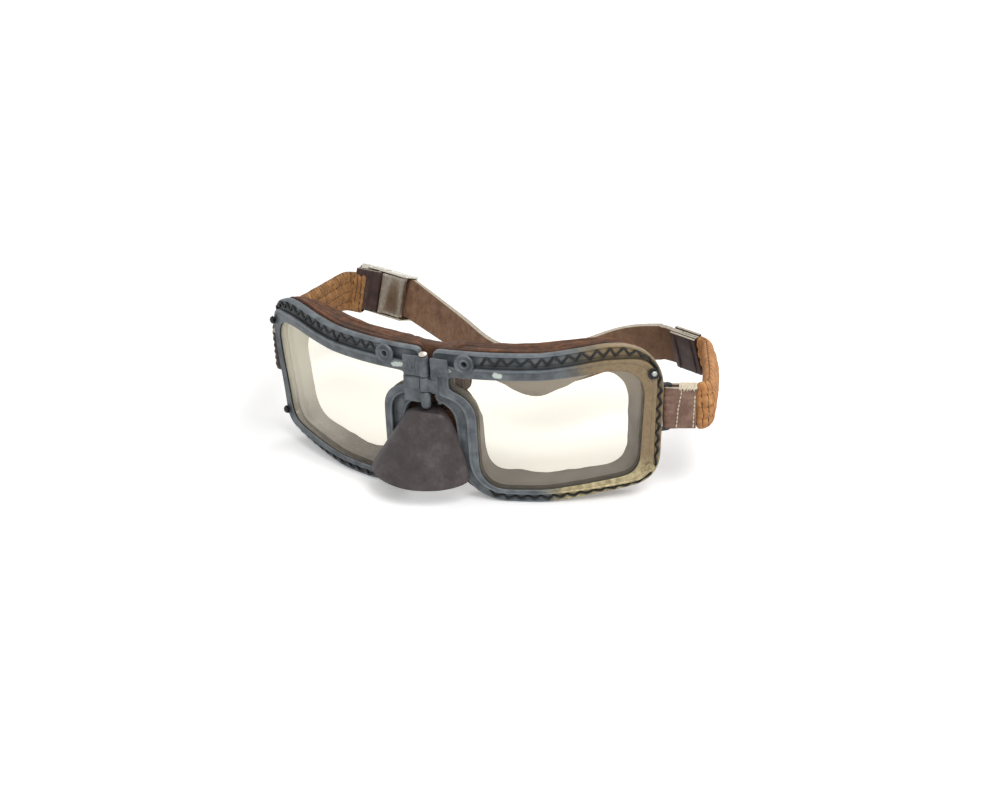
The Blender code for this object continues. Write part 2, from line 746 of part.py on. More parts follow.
def strap_loop(side_name, axis):
    """The wire staple on the flange's edge, whose upright bar carries the front tab."""
    side = SIDES[side_name]
    low, high = STRAP_LEVEL - WIRE_SPAN / 2, STRAP_LEVEL + WIRE_SPAN / 2
    route = ((outer_edge(low) + GAP, low), (BAR_ALONG, low), (BAR_ALONG, high),
             (outer_edge(high) + GAP, high))
    points = [face_point(along, up, BAR_PROUD, side) for along, up in route]
    wire = tube(points, WIRE_RADIUS, resolution=1)
    carry(wire, f"strap_loop_{side_name}", "painted_brass", axis)


def hairpin(place, length):
    """A leather tab folded round a bar at the place's origin, open along its X."""
    radius = TAB_ROOM + TAB_LEATHER / 2
    path = [(length, radius)]
    path += [(-radius * math.sin(math.pi * i / 6), radius * math.cos(math.pi * i / 6))
             for i in range(7)]
    path += [(length, -radius)]
    rows = []
    for level in (-TAB_WIDTH / 2, TAB_WIDTH / 2):
        rows.append([place @ Vector((x, level, z)) for x, z in path])
    leather = shape(loft, rows, closed=False)
    solidify(leather, TAB_LEATHER)
    return leather


def upright_place(point, turn, lean, side):
    """A matrix at a plan point: X along the turn, Y up and leaning out, Z out of the loop."""
    along = Vector((side * math.cos(turn), math.sin(turn), 0.0))
    out = Vector((side * math.sin(turn), -math.cos(turn), 0.0))
    up = Vector((0.0, 0.0, math.cos(lean))) + out * math.sin(lean)
    normal = along.cross(up)
    matrix = Matrix((along, up, normal)).transposed().to_4x4()
    return Matrix.Translation(point) @ matrix


def mirrored(point, side):
    return Vector((side * point[0], point[1], point[2]))


def front_tab_frame(side_name):
    """The front tab's place on the strap loop's bar."""
    side = SIDES[side_name]
    bar = face_point(BAR_ALONG, STRAP_LEVEL, BAR_PROUD, side)
    return upright_place(bar, FRONT_TAB_TURNS[side_name], 0.0, side)


def loop_point(shares, level_share):
    """A point of the strap loop behind the hinge."""
    return Vector((shares[0] * LOOP_WIDTH, shares[1] * LOOP_DEPTH, level_share * STRAP_LEVEL))


def buckle_frame_place():
    """The buckle's place: X along the strap to its tip, Y up, Z out of the loop's back."""
    centre = loop_point(BUCKLE_SHARES, BUCKLE_LEVEL_SHARE)
    along = Vector((math.cos(BUCKLE_TURN), math.sin(BUCKLE_TURN), 0.0))
    out = Vector((math.sin(BUCKLE_TURN), -math.cos(BUCKLE_TURN), 0.0))
    up = Vector((0.0, 0.0, math.cos(BUCKLE_LEAN))) + out * math.sin(BUCKLE_LEAN)
    normal = along.cross(up)
    return Matrix.Translation(centre) @ Matrix((along, up, normal)).transposed().to_4x4()


BUCKLE_PLACE = buckle_frame_place()
REAR_TAB_PLACE = upright_place(loop_point(REAR_TAB_SHARES, REAR_TAB_LEVEL_SHARE),
                               REAR_TAB_TURN, 0.0, 1)
TAB_BAR_PLACE = (BUCKLE_PLACE @ Matrix.Translation((TAB_BAR_ALONG, 0.0, -TAB_BAR_DEPTH))
                 @ Matrix.Rotation(-BUCKLE_TAB_TURN, 4, "Y"))


def front_tab(side_name, axis):
    """The leather tab folded round the strap loop and stitched over the band's end."""
    leather = hairpin(front_tab_frame(side_name), FRONT_TAB_LENGTH)
    carry(leather, f"front_tab_{side_name}", "dark_leather", axis)


def rear_tab_left(axis):
    """Two plies sewn through a filler, open at the front for the band, behind for the strap."""
    ply = TAB_ROOM + TAB_LEATHER
    web = (TONGUE_LENGTH + GAP, REAR_TAB_LENGTH - STRAP_POCKET - GAP)
    section = (
        (0.0, -ply), (REAR_TAB_LENGTH, -ply), (REAR_TAB_LENGTH, -TAB_ROOM), (web[1], -TAB_ROOM),
        (web[1], TAB_ROOM), (REAR_TAB_LENGTH, TAB_ROOM), (REAR_TAB_LENGTH, ply), (0.0, ply),
        (0.0, TAB_ROOM), (web[0], TAB_ROOM), (web[0], -TAB_ROOM), (0.0, -TAB_ROOM),
    )
    rows = []
    for level in (-TAB_WIDTH / 2, TAB_WIDTH / 2):
        rows.append([REAR_TAB_PLACE @ Vector((x, level, z)) for x, z in section])
    carry(shape(loft, rows), "rear_tab_left", "dark_leather", axis)


def rear_tab_right(axis):
    """The leather tab folded round the buckle's bar and stitched over the band's end."""
    carry(hairpin(TAB_BAR_PLACE, BUCKLE_TAB_LENGTH), "rear_tab_right", "dark_leather", axis)


# Spring bands

def rounded(corners, reach, steps):
    """A run through corner points, each inner corner rounded over a reach."""
    points = [corners[0]]
    for before, corner, after in zip(corners, corners[1:], corners[2:]):
        start = corner + (before - corner).normalized() * min(reach, (before - corner).length / 2)
        end = corner + (after - corner).normalized() * min(reach, (after - corner).length / 2)
        for i in range(steps + 1):
            share = i / steps
            points.append(start.lerp(corner, share).lerp(corner.lerp(end, share), share))
    return points + [corners[-1]]


def evenly(points, count):
    """Points at even distances along a run."""
    run = np.concatenate([[0.0], np.cumsum([(b - a).length for a, b in zip(points, points[1:])])])
    at = np.linspace(0.0, run[-1], count)
    columns_of = [np.interp(at, run, [point[axis] for point in points]) for axis in range(3)]
    return [Vector(values) for values in zip(*columns_of)], run[-1]


def band_run(side_name):
    """The band's centre line, its length and which way is up at its rear end."""
    side = SIDES[side_name]
    front = front_tab_frame(side_name)
    rear = REAR_TAB_PLACE if side_name == "left" else TAB_BAR_PLACE
    mouth, into = (0.0, 1.0) if side_name == "left" else (BUCKLE_TAB_LENGTH, -1.0)
    start = front @ Vector((FRONT_TAB_LENGTH - TONGUE_LENGTH, 0.0, 0.0))
    first = front @ Vector((FRONT_TAB_LENGTH + BAND_CORNER, 0.0, 0.0))
    last = rear @ Vector((mouth - into * BAND_CORNER, 0.0, 0.0))
    end = rear @ Vector((mouth + into * TONGUE_LENGTH, 0.0, 0.0))
    middle = mirrored(loop_point(BAND_MIDDLE_SHARES[side_name], 1.0), side)
    middle.z = (first.z + last.z) / 2
    corners = rounded([start, first, middle, last, end], BAND_CORNER, 6)
    points, length = evenly(corners, BAND_STATIONS + 1)
    return points, length, rear.to_3x3().col[1]


def station_frames(points, ups, side):
    """At each point: the point, its up vector and the normal out of the loop."""
    frames = []
    for i, point in enumerate(points):
        along = (points[min(i + 1, len(points) - 1)] - points[max(i - 1, 0)]).normalized()
        up = (ups[i] - along * ups[i].dot(along)).normalized()
        frames.append((point, up, along.cross(up) * side))
    return frames


def eased(share):
    """A share from 0 to 1, eased at both ends."""
    share = min(max(share, 0.0), 1.0)
    return share * share * (3 - 2 * share)


def band_frames(side_name):
    points, length, rear_up = band_run(side_name)
    ups = []
    for i in range(BAND_STATIONS + 1):
        run = length * i / BAND_STATIONS
        share = eased((run - TONGUE_LENGTH) / (length - 2 * TONGUE_LENGTH - BAND_CORNER))
        ups.append(UP.lerp(rear_up, share))
    return station_frames(points, ups, SIDES[side_name]), length


def fullness(station, length):
    """How far the band has swelled from its flat tongue, from 0 to 1."""
    run = length * station / BAND_STATIONS
    return eased((min(run, length - run) - TONGUE_LENGTH) / BAND_EASE)


def spring_cover(side_name, face, axis):
    """One suede skin of the band, quilted into channels and gathered along its length."""
    frames, length = band_frames(side_name)
    away = 1 if face == "outer" else -1
    flat = (GAP + BAND_WALL) / 2
    crest = (BAND_THICKNESS - BAND_WALL) / 2 - flat
    across = CHANNELS * CHANNEL_STEPS
    rows = []
    for i, (point, up, normal) in enumerate(frames):
        full = fullness(i, length)
        height = TONGUE_HEIGHT + (BAND_HEIGHT - TONGUE_HEIGHT) * full
        swell = crest * full * (1 - RUCK_SHARE * (i % 2))
        row = []
        for k in range(across + 1):
            level = height * (k / across - 0.5)
            offset = flat + (swell if k % CHANNEL_STEPS else 0.0)
            row.append(point + up * level + normal * (away * offset))
        rows.append(row)
    skin = shape(loft, rows, closed=False)
    solidify(skin, BAND_WALL, even=False)
    carry(skin, f"spring_cover_{face}_{side_name}", "tan_suede", axis)


def spring_line(side_name, channel):
    """The points of one coil spring along its channel."""
    frames, length = band_frames(side_name)
    level = BAND_HEIGHT * ((channel + 0.5) / CHANNELS - 0.5)
    centres = [point + up * level for point, up, normal in frames]
    first = (TONGUE_LENGTH + SPRING_SETBACK) / length * BAND_STATIONS
    last = BAND_STATIONS - first
    count = SPRING_TURNS * SPRING_TURN_STEPS
    points = []
    for i in range(count + 1):
        at = first + (last - first) * i / count
        near = min(int(at), BAND_STATIONS - 1)
        share = at - near
        centre = centres[near].lerp(centres[near + 1], share)
        up, normal = frames[near][1], frames[near][2]
        angle = 2 * math.pi * i / SPRING_TURN_STEPS
        turn = up * math.cos(angle) + normal * math.sin(angle)
        points.append(centre + turn * SPRING_RADIUS)
    return points


def least_gap(points):
    """The least clear space between one turn of a coil and the next."""
    apart = [(b - a).length for a, b in zip(points, points[SPRING_TURN_STEPS:])]
    return min(apart) - 2 * SPRING_WIRE


def band_springs(side_name, axis):
    """Four coil springs side by side, one in each channel of the band."""
    for channel in range(CHANNELS):
        points = spring_line(side_name, channel)
        coil = tube(points, SPRING_WIRE, resolution=0)
        carry(coil, f"band_spring_{side_name}_{channel + 1}", "spring_steel", axis)
        print(f"{coil.name} least gap {least_gap(points) / MM:.2f} mm")


# Rear strap

def smooth_run(values, steps):
    """Values at even shares of a smooth curve through given ones."""
    points = [2 * values[0] - values[1]] + values + [2 * values[-1] - values[-2]]
    result = []
    for before, start, end, after in zip(points, points[1:], points[2:], points[3:]):
        for i in range(steps):
            t = i / steps
            ease = 2 * t ** 3 - 3 * t ** 2
            result.append(start * (1 + ease) - end * ease
                          + (end - before) * ((t ** 3 - 2 * t ** 2 + t) / 2)
                          + (after - start) * ((t ** 3 - t ** 2) / 2))
    return result + [values[-1]]


def strap_frames():
    """The strap's stations from the left rear tab, through the buckle, to its free tip."""
    pocket = REAR_TAB_LENGTH - STRAP_POCKET
    points = [REAR_TAB_PLACE @ Vector((x, 0.0, 0.0))
              for x in (pocket, REAR_TAB_LENGTH, REAR_TAB_LENGTH + STRAP_POCKET)]
    ups = [UP, UP, UP]
    buckle_up = BUCKLE_PLACE.to_3x3().col[1]
    for shares, level, lean in zip(STRAP_ROUTE_SHARES, STRAP_LEVEL_SHARES, STRAP_LEAN_SHARES):
        points.append(loop_point(shares, level))
        ups.append(UP.lerp(buckle_up, lean))
    for along in (-STRAP_RUN_IN, -BUCKLE_LENGTH / 2 - GAP, 0.0, BUCKLE_LENGTH / 2, STRAP_TIP):
        points.append(BUCKLE_PLACE @ Vector((along, 0.0, 0.0)))
        ups.append(buckle_up)
    return station_frames(smooth_run(points, STRAP_STEPS), smooth_run(ups, STRAP_STEPS), 1)


def rear_strap(axis):
    """The flat leather strap, standing on edge, with its slanted free end."""
    rows = []
    frames = strap_frames()
    for point, up, normal in frames:
        rows.append([point - up * STRAP_WIDTH / 2, point + up * STRAP_WIDTH / 2])
    back = (frames[-2][0] - frames[-1][0]).normalized()
    rows[-1][1] = rows[-1][1] + back * STRAP_TIP_SLANT
    strap = shape(loft, rows, closed=False)
    solidify(strap, STRAP_THICKNESS)
    carry(strap, "rear_strap", "strap_leather", axis)


# Buckle and keeper

CHEEK_INNER = STRAP_WIDTH / 2 + BUCKLE_SIDE_ROOM
CHEEK_OUTER = CHEEK_INNER + BUCKLE_PLATE
STRAP_FACE = STRAP_THICKNESS / 2
BASE_FACE = STRAP_FACE + GAP


def buckle_body(axis):
    """The base plate with its two cheeks, the tab bar, and the holes for the lever's pin."""
    half = BUCKLE_LENGTH / 2
    base = shape(block, (-half, -CHEEK_OUTER, BASE_FACE),
                 (half, CHEEK_OUTER, BASE_FACE + BUCKLE_PLATE), BUCKLE_PLACE)
    carry(base, "buckle_frame", "nickel", axis)
    for near, far in ((CHEEK_INNER, CHEEK_OUTER), (-CHEEK_OUTER, -CHEEK_INNER)):
        cheek = shape(block, (-half, near, -CHEEK_DEPTH), (half, far, BASE_FACE + GAP),
                      BUCKLE_PLACE)
        boolean(base, cheek, "UNION", axis)
    reach = CHEEK_OUTER - GAP
    bar = shape(round_bar, WIRE_RADIUS, (TAB_BAR_ALONG, -reach, -TAB_BAR_DEPTH),
                (TAB_BAR_ALONG, reach, -TAB_BAR_DEPTH), sides=10, place=BUCKLE_PLACE)
    boolean(base, bar, "UNION", axis)
    reach = CHEEK_OUTER + OVERRUN
    hole = shape(round_bar, LEVER_PIN + GAP, (LEVER_ALONG, -reach, -LEVER_DEPTH),
                 (LEVER_ALONG, reach, -LEVER_DEPTH), sides=10, place=BUCKLE_PLACE)
    boolean(base, hole, "DIFFERENCE", axis)


def lever_pin(axis):
    """The pin through both cheeks that the lever turns on."""
    pin = shape(round_bar, LEVER_PIN, (LEVER_ALONG, -CHEEK_OUTER, -LEVER_DEPTH),
                (LEVER_ALONG, CHEEK_OUTER, -LEVER_DEPTH), sides=10, place=BUCKLE_PLACE)
    carry(pin, "buckle_pin", "nickel", axis)


def lever(axis):
    """The lever plate with its rolled knuckle and turned-out lip."""
    half = CHEEK_INNER - GAP
    back = -LEVER_DEPTH - GAP - LEVER_THICKNESS
    end = LEVER_ALONG + LEVER_LENGTH
    knuckle = shape(round_bar, LEVER_KNUCKLE, (LEVER_ALONG, -half, -LEVER_DEPTH),
                    (LEVER_ALONG, half, -LEVER_DEPTH), sides=12, place=BUCKLE_PLACE)
    carry(knuckle, "buckle_lever", "nickel", axis)
    plate = shape(block, (LEVER_ALONG, -half + GAP, back),
                  (end, half - GAP, back + LEVER_THICKNESS), BUCKLE_PLACE)
    boolean(knuckle, plate, "UNION", axis)
    lip = shape(block, (end - LEVER_THICKNESS, -half + 2 * GAP, back - LEVER_LIP),
                (end + GAP, half - 2 * GAP, back + LEVER_THICKNESS / 2), BUCKLE_PLACE)
    boolean(knuckle, lip, "UNION", axis)
    bore = shape(round_bar, LEVER_PIN + GAP, (LEVER_ALONG, -CHEEK_OUTER, -LEVER_DEPTH),
                 (LEVER_ALONG, CHEEK_OUTER, -LEVER_DEPTH), sides=10, place=BUCKLE_PLACE)
    boolean(knuckle, bore, "DIFFERENCE", axis)


def keeper(axis):
    """The flat metal keeper that slides on the strap's free end."""
    inner = Vector((0.0, STRAP_WIDTH / 2 + GAP, BASE_FACE))
    outer = inner + Vector((0.0, KEEPER_WALL, KEEPER_WALL))
    near, far = KEEPER_AHEAD - KEEPER_LENGTH / 2, KEEPER_AHEAD + KEEPER_LENGTH / 2
    signs = ((1, 1), (1, -1), (-1, -1), (-1, 1))
    loops = []
    for along, size in ((near, inner), (near, outer), (far, outer), (far, inner)):
        loops.append([BUCKLE_PLACE @ Vector((along, a * size.y, b * size.z)) for a, b in signs])
    carry(shape(loft, loops, ring=True), "strap_keeper", "nickel", axis)


# Nose flap and bridge suede

def nose_flap(axis):
    """The stiff leather half cone over the nose, with a tail tucked back under the bridge."""
    rows = []
    for back in (FLAP_TAIL, 0.0):
        rows.append([Vector((FLAP_TOP_HALF * (k / 4 - 1), back, FLAP_TOP_LEVEL))
                     for k in range(9)])
    stages = 6
    for i in range(stages + 1):
        share = (i + 0.6) / (stages + 0.6)
        half = FLAP_TOP_HALF + (FLAP_FOOT_HALF - FLAP_TOP_HALF) * share
        bulge = FLAP_TOP_BULGE + (FLAP_FOOT_BULGE - FLAP_TOP_BULGE) * share
        level = FLAP_TOP_LEVEL + (FLAP_FOOT_LEVEL - FLAP_TOP_LEVEL) * share
        row = []
        for k in range(9):
            angle = math.pi * (1 - k / 8)
            row.append(Vector((half * math.cos(angle) - FLAP_SKEW * share,
                               -FLAP_PROUD - bulge * math.sin(angle), level)))
        rows.append(row)
    flap = shape(loft, rows, closed=False)
    solidify(flap, FLAP_LEATHER)
    carry(flap, "nose_flap", "dark_leather", axis)


def bridge_suede(axis):
    """The strip of suede that joins the two pads behind the hinge."""
    foot = FLAP_TOP_LEVEL + FLAP_LEATHER / 2 + GAP
    rows = []
    for level in (foot, BRIDGE_TOP_SHARE * FRAME_HEIGHT):
        row = []
        for k in range(5):
            share = k / 2 - 1
            dip = GAP * (1 - share * share)
            row.append(Vector((BRIDGE_HALF * share, BRIDGE_DEPTH + dip, level)))
        rows.append(row)
    strip = shape(loft, rows, closed=False)
    solidify(strip, BRIDGE_SUEDE)
    carry(strip, "bridge_suede", "brown_suede", axis)


# Assembly

def eye_side(side_name, axis):
    """Everything fixed to one eye frame."""
    eye_frame(side_name, axis)
    bezel(side_name, axis)
    lens(side_name, axis)
    pad(side_name, axis)
    lining(side_name, axis)
    hinge_leaf(side_name, axis)
    eyelet(side_name, axis)
    screw(side_name, "top", axis)
    screw(side_name, "bottom", axis)
    lacing(side_name, axis)
    strap_loop(side_name, axis)


def head_band(side_name, axis):
    """One side's spring band, from its front tab to its rear tab."""
    front_tab(side_name, f"front_tab_axis_{side_name}")
    spring_cover(side_name, "outer", axis)
    spring_cover(side_name, "inner", axis)
    band_springs(side_name, axis)


def settle():
    """Put the middle of the goggles' footprint on the origin."""
    bpy.context.view_layer.update()
    low = Vector((math.inf, math.inf, math.inf))
    high = -low
    graph = bpy.context.evaluated_depsgraph_get()
    for thing in GOGGLES.objects:
        if thing.type == "EMPTY":
            continue
        shown = thing.evaluated_get(graph)
        mesh = shown.to_mesh()
        for vertex in mesh.vertices:
            point = shown.matrix_world @ vertex.co
            low = Vector(map(min, low, point))
            high = Vector(map(max, high, point))
        shown.to_mesh_clear()
    middle = (low + high) / 2
    AXES["root"][0].location = Vector((-middle.x, -middle.y, -low.z))
    bpy.context.view_layer.update()


add_axis("root", (0.0, 0.0, 0.0))
add_axis("bridge_axis", PIN_PLACE, "root")
add_axis("front_tab_axis_left", front_tab_frame("left").translation, "root")
add_axis("front_tab_axis_right", front_tab_frame("right").translation, "bridge_axis")
add_axis("buckle_lever_axis", BUCKLE_PLACE @ Vector((LEVER_ALONG, 0.0, -LEVER_DEPTH)),
         "bridge_axis")
eye_side("left", "root")
hinge_pin("root")
nose_flap("root")
bridge_suede("root")
head_band("left", "root")
rear_tab_left("root")
rear_strap("root")
eye_side("right", "bridge_axis")
head_band("right", "bridge_axis")
rear_tab_right("bridge_axis")
buckle_body("bridge_axis")
lever_pin("bridge_axis")
lever("buckle_lever_axis")
keeper("bridge_axis")
settle()
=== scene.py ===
"""Worn flying goggles on a pale floor: the looks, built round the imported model.

Eye pieces are drawn flat, as (along the face, up, proud of the flange), and then bent onto the
face curve. Strap pieces are drawn in plan behind the hinge. Lengths are in metres.
"""

import math

import bmesh
import bpy
import numpy as np
from mathutils import Matrix, Vector, noise


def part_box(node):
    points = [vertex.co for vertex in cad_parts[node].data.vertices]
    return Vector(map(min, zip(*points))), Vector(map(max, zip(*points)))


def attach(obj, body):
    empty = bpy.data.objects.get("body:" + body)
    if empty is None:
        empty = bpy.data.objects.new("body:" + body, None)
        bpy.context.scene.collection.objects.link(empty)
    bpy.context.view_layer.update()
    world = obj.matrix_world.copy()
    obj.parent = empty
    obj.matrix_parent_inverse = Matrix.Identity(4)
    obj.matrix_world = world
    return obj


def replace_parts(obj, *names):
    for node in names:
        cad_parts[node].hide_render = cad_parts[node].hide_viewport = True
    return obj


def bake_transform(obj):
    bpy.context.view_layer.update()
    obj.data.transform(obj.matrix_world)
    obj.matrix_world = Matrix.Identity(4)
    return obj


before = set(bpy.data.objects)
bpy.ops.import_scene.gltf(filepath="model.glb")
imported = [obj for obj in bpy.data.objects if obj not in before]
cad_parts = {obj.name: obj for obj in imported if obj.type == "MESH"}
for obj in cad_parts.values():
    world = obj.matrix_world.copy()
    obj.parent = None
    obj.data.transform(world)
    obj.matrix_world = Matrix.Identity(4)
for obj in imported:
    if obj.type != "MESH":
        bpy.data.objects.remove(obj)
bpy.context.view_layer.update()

MM = 0.001
SIDES = {"left": 1, "right": -1}
UP = Vector((0.0, 0.0, 1.0))

# The bridge hinge's pin gives the place of everything that is drawn from the hinge
PIN_PROUD = 2.3 * MM
PIN_LOW, PIN_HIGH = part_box("hinge_pin")
HINGE = Vector(((PIN_LOW.x + PIN_HIGH.x) / 2, (PIN_LOW.y + PIN_HIGH.y) / 2 + PIN_PROUD, 0.0))


# Stage

def stand_camera():
    """The camera where the photograph was taken from, turned by the photograph's small roll."""
    data = bpy.data.cameras.new("camera")
    data.lens = 54.0
    data.sensor_width = 36.0
    data.clip_start = 0.01
    camera = bpy.data.objects.new("camera", data)
    bpy.context.scene.collection.objects.link(camera)
    azimuth, elevation, roll = math.radians(24.8), math.radians(25.5), math.radians(-2.6)
    forward = Vector((-math.sin(azimuth) * math.cos(elevation),
                      math.cos(azimuth) * math.cos(elevation), -math.sin(elevation)))
    across = Vector((math.cos(azimuth), math.sin(azimuth), 0.0))
    up = across.cross(forward)
    turned_across = across * math.cos(roll) + up * math.sin(roll)
    turned_up = up * math.cos(roll) - across * math.sin(roll)
    turn = Matrix((turned_across, turned_up, -forward)).transposed().to_4x4()
    aim = HINGE + Vector((28.8, 0.0, 42.1)) * MM
    distance = 541.0 * MM
    camera.matrix_world = Matrix.Translation(aim - forward * distance) @ turn
    bpy.context.scene.camera = camera


def soft_lamp(name, spot, size, power):
    """A square softbox that looks at the goggles."""
    data = bpy.data.lights.new(name, "AREA")
    data.shape = "SQUARE"
    data.size = size
    data.energy = power
    lamp = bpy.data.objects.new(name, data)
    bpy.context.scene.collection.objects.link(lamp)
    lamp.location = spot
    lamp.rotation_euler = (-Vector(spot)).to_track_quat("-Z", "Y").to_euler()


# Shader expressions

class Wire:
    """A shader socket that takes part in Python expressions."""

    def __init__(self, nodes, socket):
        self.nodes = nodes
        self.socket = socket

    def joined(self, operation, first, second, clamp=False):
        settings = {"operation": operation, "use_clamp": clamp}
        return self.nodes.node("ShaderNodeMath", settings, {0: first, 1: second})

    def __add__(self, other):
        return self.joined("ADD", self, other)

    __radd__ = __add__

    def __mul__(self, other):
        return self.joined("MULTIPLY", self, other)

    __rmul__ = __mul__

    def __sub__(self, other):
        return self.joined("SUBTRACT", self, other)

    def __rsub__(self, other):
        return self.joined("SUBTRACT", other, self)

    def __pow__(self, other):
        return self.joined("POWER", self, other)

    def clamped(self):
        return self.joined("ADD", self, 0.0, clamp=True)

    def stepped(self, low, high):
        """0 below low and 1 above high, eased between them."""
        settings = {"interpolation_type": "SMOOTHSTEP"}
        inputs = {"Value": self, "From Min": low, "From Max": high}
        return self.nodes.node("ShaderNodeMapRange", settings, inputs)


class Nodes:
    """A node tree whose nodes all come from one method."""

    def __init__(self, tree):
        self.tree = tree

    def put(self, socket, value):
        if isinstance(value, Wire):
            self.tree.links.new(value.socket, socket)
        elif socket.type == "RGBA" and len(value) == 3:
            socket.default_value = (*value, 1.0)
        else:
            socket.default_value = value

    def node(self, kind, settings=None, inputs=None, output=0):
        """A node with its settings, then the values or links of its sockets."""
        made = self.tree.nodes.new(kind)
        for name, value in (settings or {}).items():
            if name == "stops":
                self.ramp_stops(made.color_ramp, value)
            else:
                setattr(made, name, value)
        for name, value in (inputs or {}).items():
            self.put(made.inputs[name], value)
        return Wire(self, made.outputs[output])

    @staticmethod
    def ramp_stops(ramp, stops):
        while len(ramp.elements) < len(stops):
            ramp.elements.new(1.0)
        for element, (place, colour) in zip(ramp.elements, stops):
            element.position = place
            element.color = (*colour, 1.0)

    def shown(self):
        """1 for what the camera sees, through the glass and in mirrors too, and 0 for light."""
        rays = [self.node("ShaderNodeLightPath", output=kind)
                for kind in ("Is Camera Ray", "Is Transmission Ray", "Is Glossy Ray")]
        return (rays[0] + rays[1] + rays[2]).clamped()


class Finish(Nodes):
    """A Principled material."""

    def __init__(self, name, roughness=0.5, metallic=0.0, **constants):
        self.material = bpy.data.materials.new(name)
        self.material.use_nodes = True
        super().__init__(self.material.node_tree)
        self.shader = self.tree.nodes["Principled BSDF"]
        self.set("Roughness", roughness)
        self.set("Metallic", metallic)
        for socket, value in constants.items():
            self.set(socket.replace("_", " ").title().replace("Ior", "IOR"), value)

    def set(self, name, value):
        self.put(self.shader.inputs[name], value)

    def place(self, stretch=(1.0, 1.0, 1.0), source="Object"):
        """Coordinates in millimetres, stretched: the model's own, or those of a UV map."""
        spot = self.node("ShaderNodeTexCoord", output=source)
        scale = tuple(share / MM for share in stretch)
        return self.node("ShaderNodeMapping", {}, {"Vector": spot, "Scale": scale})

    def axis(self, place, name):
        return self.node("ShaderNodeSeparateXYZ", {}, {"Vector": place}, output=name)

    def distance(self, place, other=(0.0, 0.0, 0.0)):
        """How far a place is from another one, or from the middle of the floor."""
        return self.node("ShaderNodeVectorMath", {"operation": "DISTANCE"},
                         {0: place, 1: other}, output="Value")

    def mark(self, name):
        """A value that the mesh carries at its vertices."""
        return self.node("ShaderNodeAttribute", {"attribute_name": name}, output="Fac")

    def grain(self, place, scale, detail=3.0, rough=0.55, distortion=0.0):
        """Cloudy noise from 0 to 1, about the given number of lumps to a millimetre."""
        inputs = {"Vector": place, "Scale": scale, "Detail": detail, "Roughness": rough,
                  "Distortion": distortion}
        return self.node("ShaderNodeTexNoise", {}, inputs)

    def blend(self, share, first, second):
        inputs = {"Factor": share, 6: first, 7: second}
        return self.node("ShaderNodeMix", {"data_type": "RGBA"}, inputs, output=2)

    def shades(self, share, *stops):
        return self.node("ShaderNodeValToRGB", {"stops": stops}, {"Fac": share}, output="Color")

    def rough_surface(self, height, depth, below=None):
        """A bump of the given depth in millimetres, on top of another one."""
        inputs = {"Height": height, "Distance": depth * MM, "Strength": 1.0}
        if below:
            inputs["Normal"] = below
        return self.node("ShaderNodeBump", {}, inputs, output="Normal")


def tone(red, green, blue):
    """A screen colour from 0 to 255 as the linear colour that a shader takes."""
    def linear(value):
        value /= 255.0
        return value / 12.92 if value <= 0.04045 else ((value + 0.055) / 1.055) ** 2.4
    return (linear(red), linear(green), linear(blue))


def slate_paint(name, bare_share, chips=()):
    """Blue-grey stove paint: painted shade in its grooves, a painted highlight on its ridges, and
    rubbed brass.

    bare_share tells where the paint is worn away. Chips are (place, radius) in millimetres.
    """
    paint = Finish(name, roughness=0.42)
    spot = paint.place()
    cloud = paint.grain(spot, 0.22, detail=4.0)
    fine = paint.grain(spot, 2.2, detail=3.0)
    # The mesh carries painted light at its vertices: below 0 painted shade, above 0 a painted
    # highlight.
    rub = paint.mark("rub")
    colour = paint.shades(cloud, (0.30, tone(64, 69, 73)), (0.50, tone(87, 93, 98)),
                          (0.72, tone(112, 117, 120)))
    # Painted shade: darker in the grooves, where the mesh's painted light value is below 0.
    painted_groove_shade = (rub * -1.0).stepped(0.05, 0.8)
    # Painted highlight: lighter blue-grey along the ridges, where the painted light value is above
    # 0.
    painted_ridge_highlight = (rub + 0.5 * fine - 0.25).stepped(0.10, 1.0)
    scuffs = (paint.grain(spot, 1.1, detail=5.0, rough=0.7) + 0.12 * fine).stepped(0.70, 0.78)
    colour = paint.blend(0.45 * painted_ridge_highlight, colour, tone(132, 142, 148))
    colour = paint.blend(0.55 * scuffs, colour, tone(128, 132, 126))
    worn = bare_share(paint, spot)
    brass = paint.shades(paint.grain(spot, 0.55, detail=5.0), (0.25, tone(108, 98, 68)),
                         (0.45, tone(166, 152, 115)), (0.75, tone(206, 192, 152)))
    high = paint.axis(spot, "Z").stepped(9.0, 19.0)
    brass = paint.blend(0.8 * high, brass, tone(124, 102, 76))
    specks = paint.grain(spot, 1.6, detail=3.0, rough=0.8).stepped(0.58, 0.70)
    brass = paint.blend(0.6 * specks, brass, tone(66, 62, 50))
    brass = paint.blend((1.0 - worn) * 0.8, brass, tone(92, 92, 70))
    colour = paint.blend(worn, colour, brass)
    metal = 0.35 * worn
    # The painted shade in the grooves is laid over both the paint and the brass.
    colour = paint.blend(0.75 * painted_groove_shade, colour, tone(24, 25, 27))
    ragged, edge = paint.grain(spot, 0.9, detail=3.0) * 1.6 - 0.8, 0.25
    for place, radius in chips:
        away = paint.distance(spot, place)
        bare = 1.0 - (away + ragged).stepped(radius - edge, radius + edge)
        colour = paint.blend(bare, colour, tone(196, 206, 198))
        metal = metal + 0.3 * bare
    paint.set("Base Color", colour)
    paint.set("Roughness", 0.34 + 0.26 * fine)
    paint.set("Metallic", metal)
    pits = paint.grain(spot, 4.0, detail=2.0)
    paint.set("Normal", paint.rough_surface(cloud + 0.35 * pits, 0.06))
    return paint.material


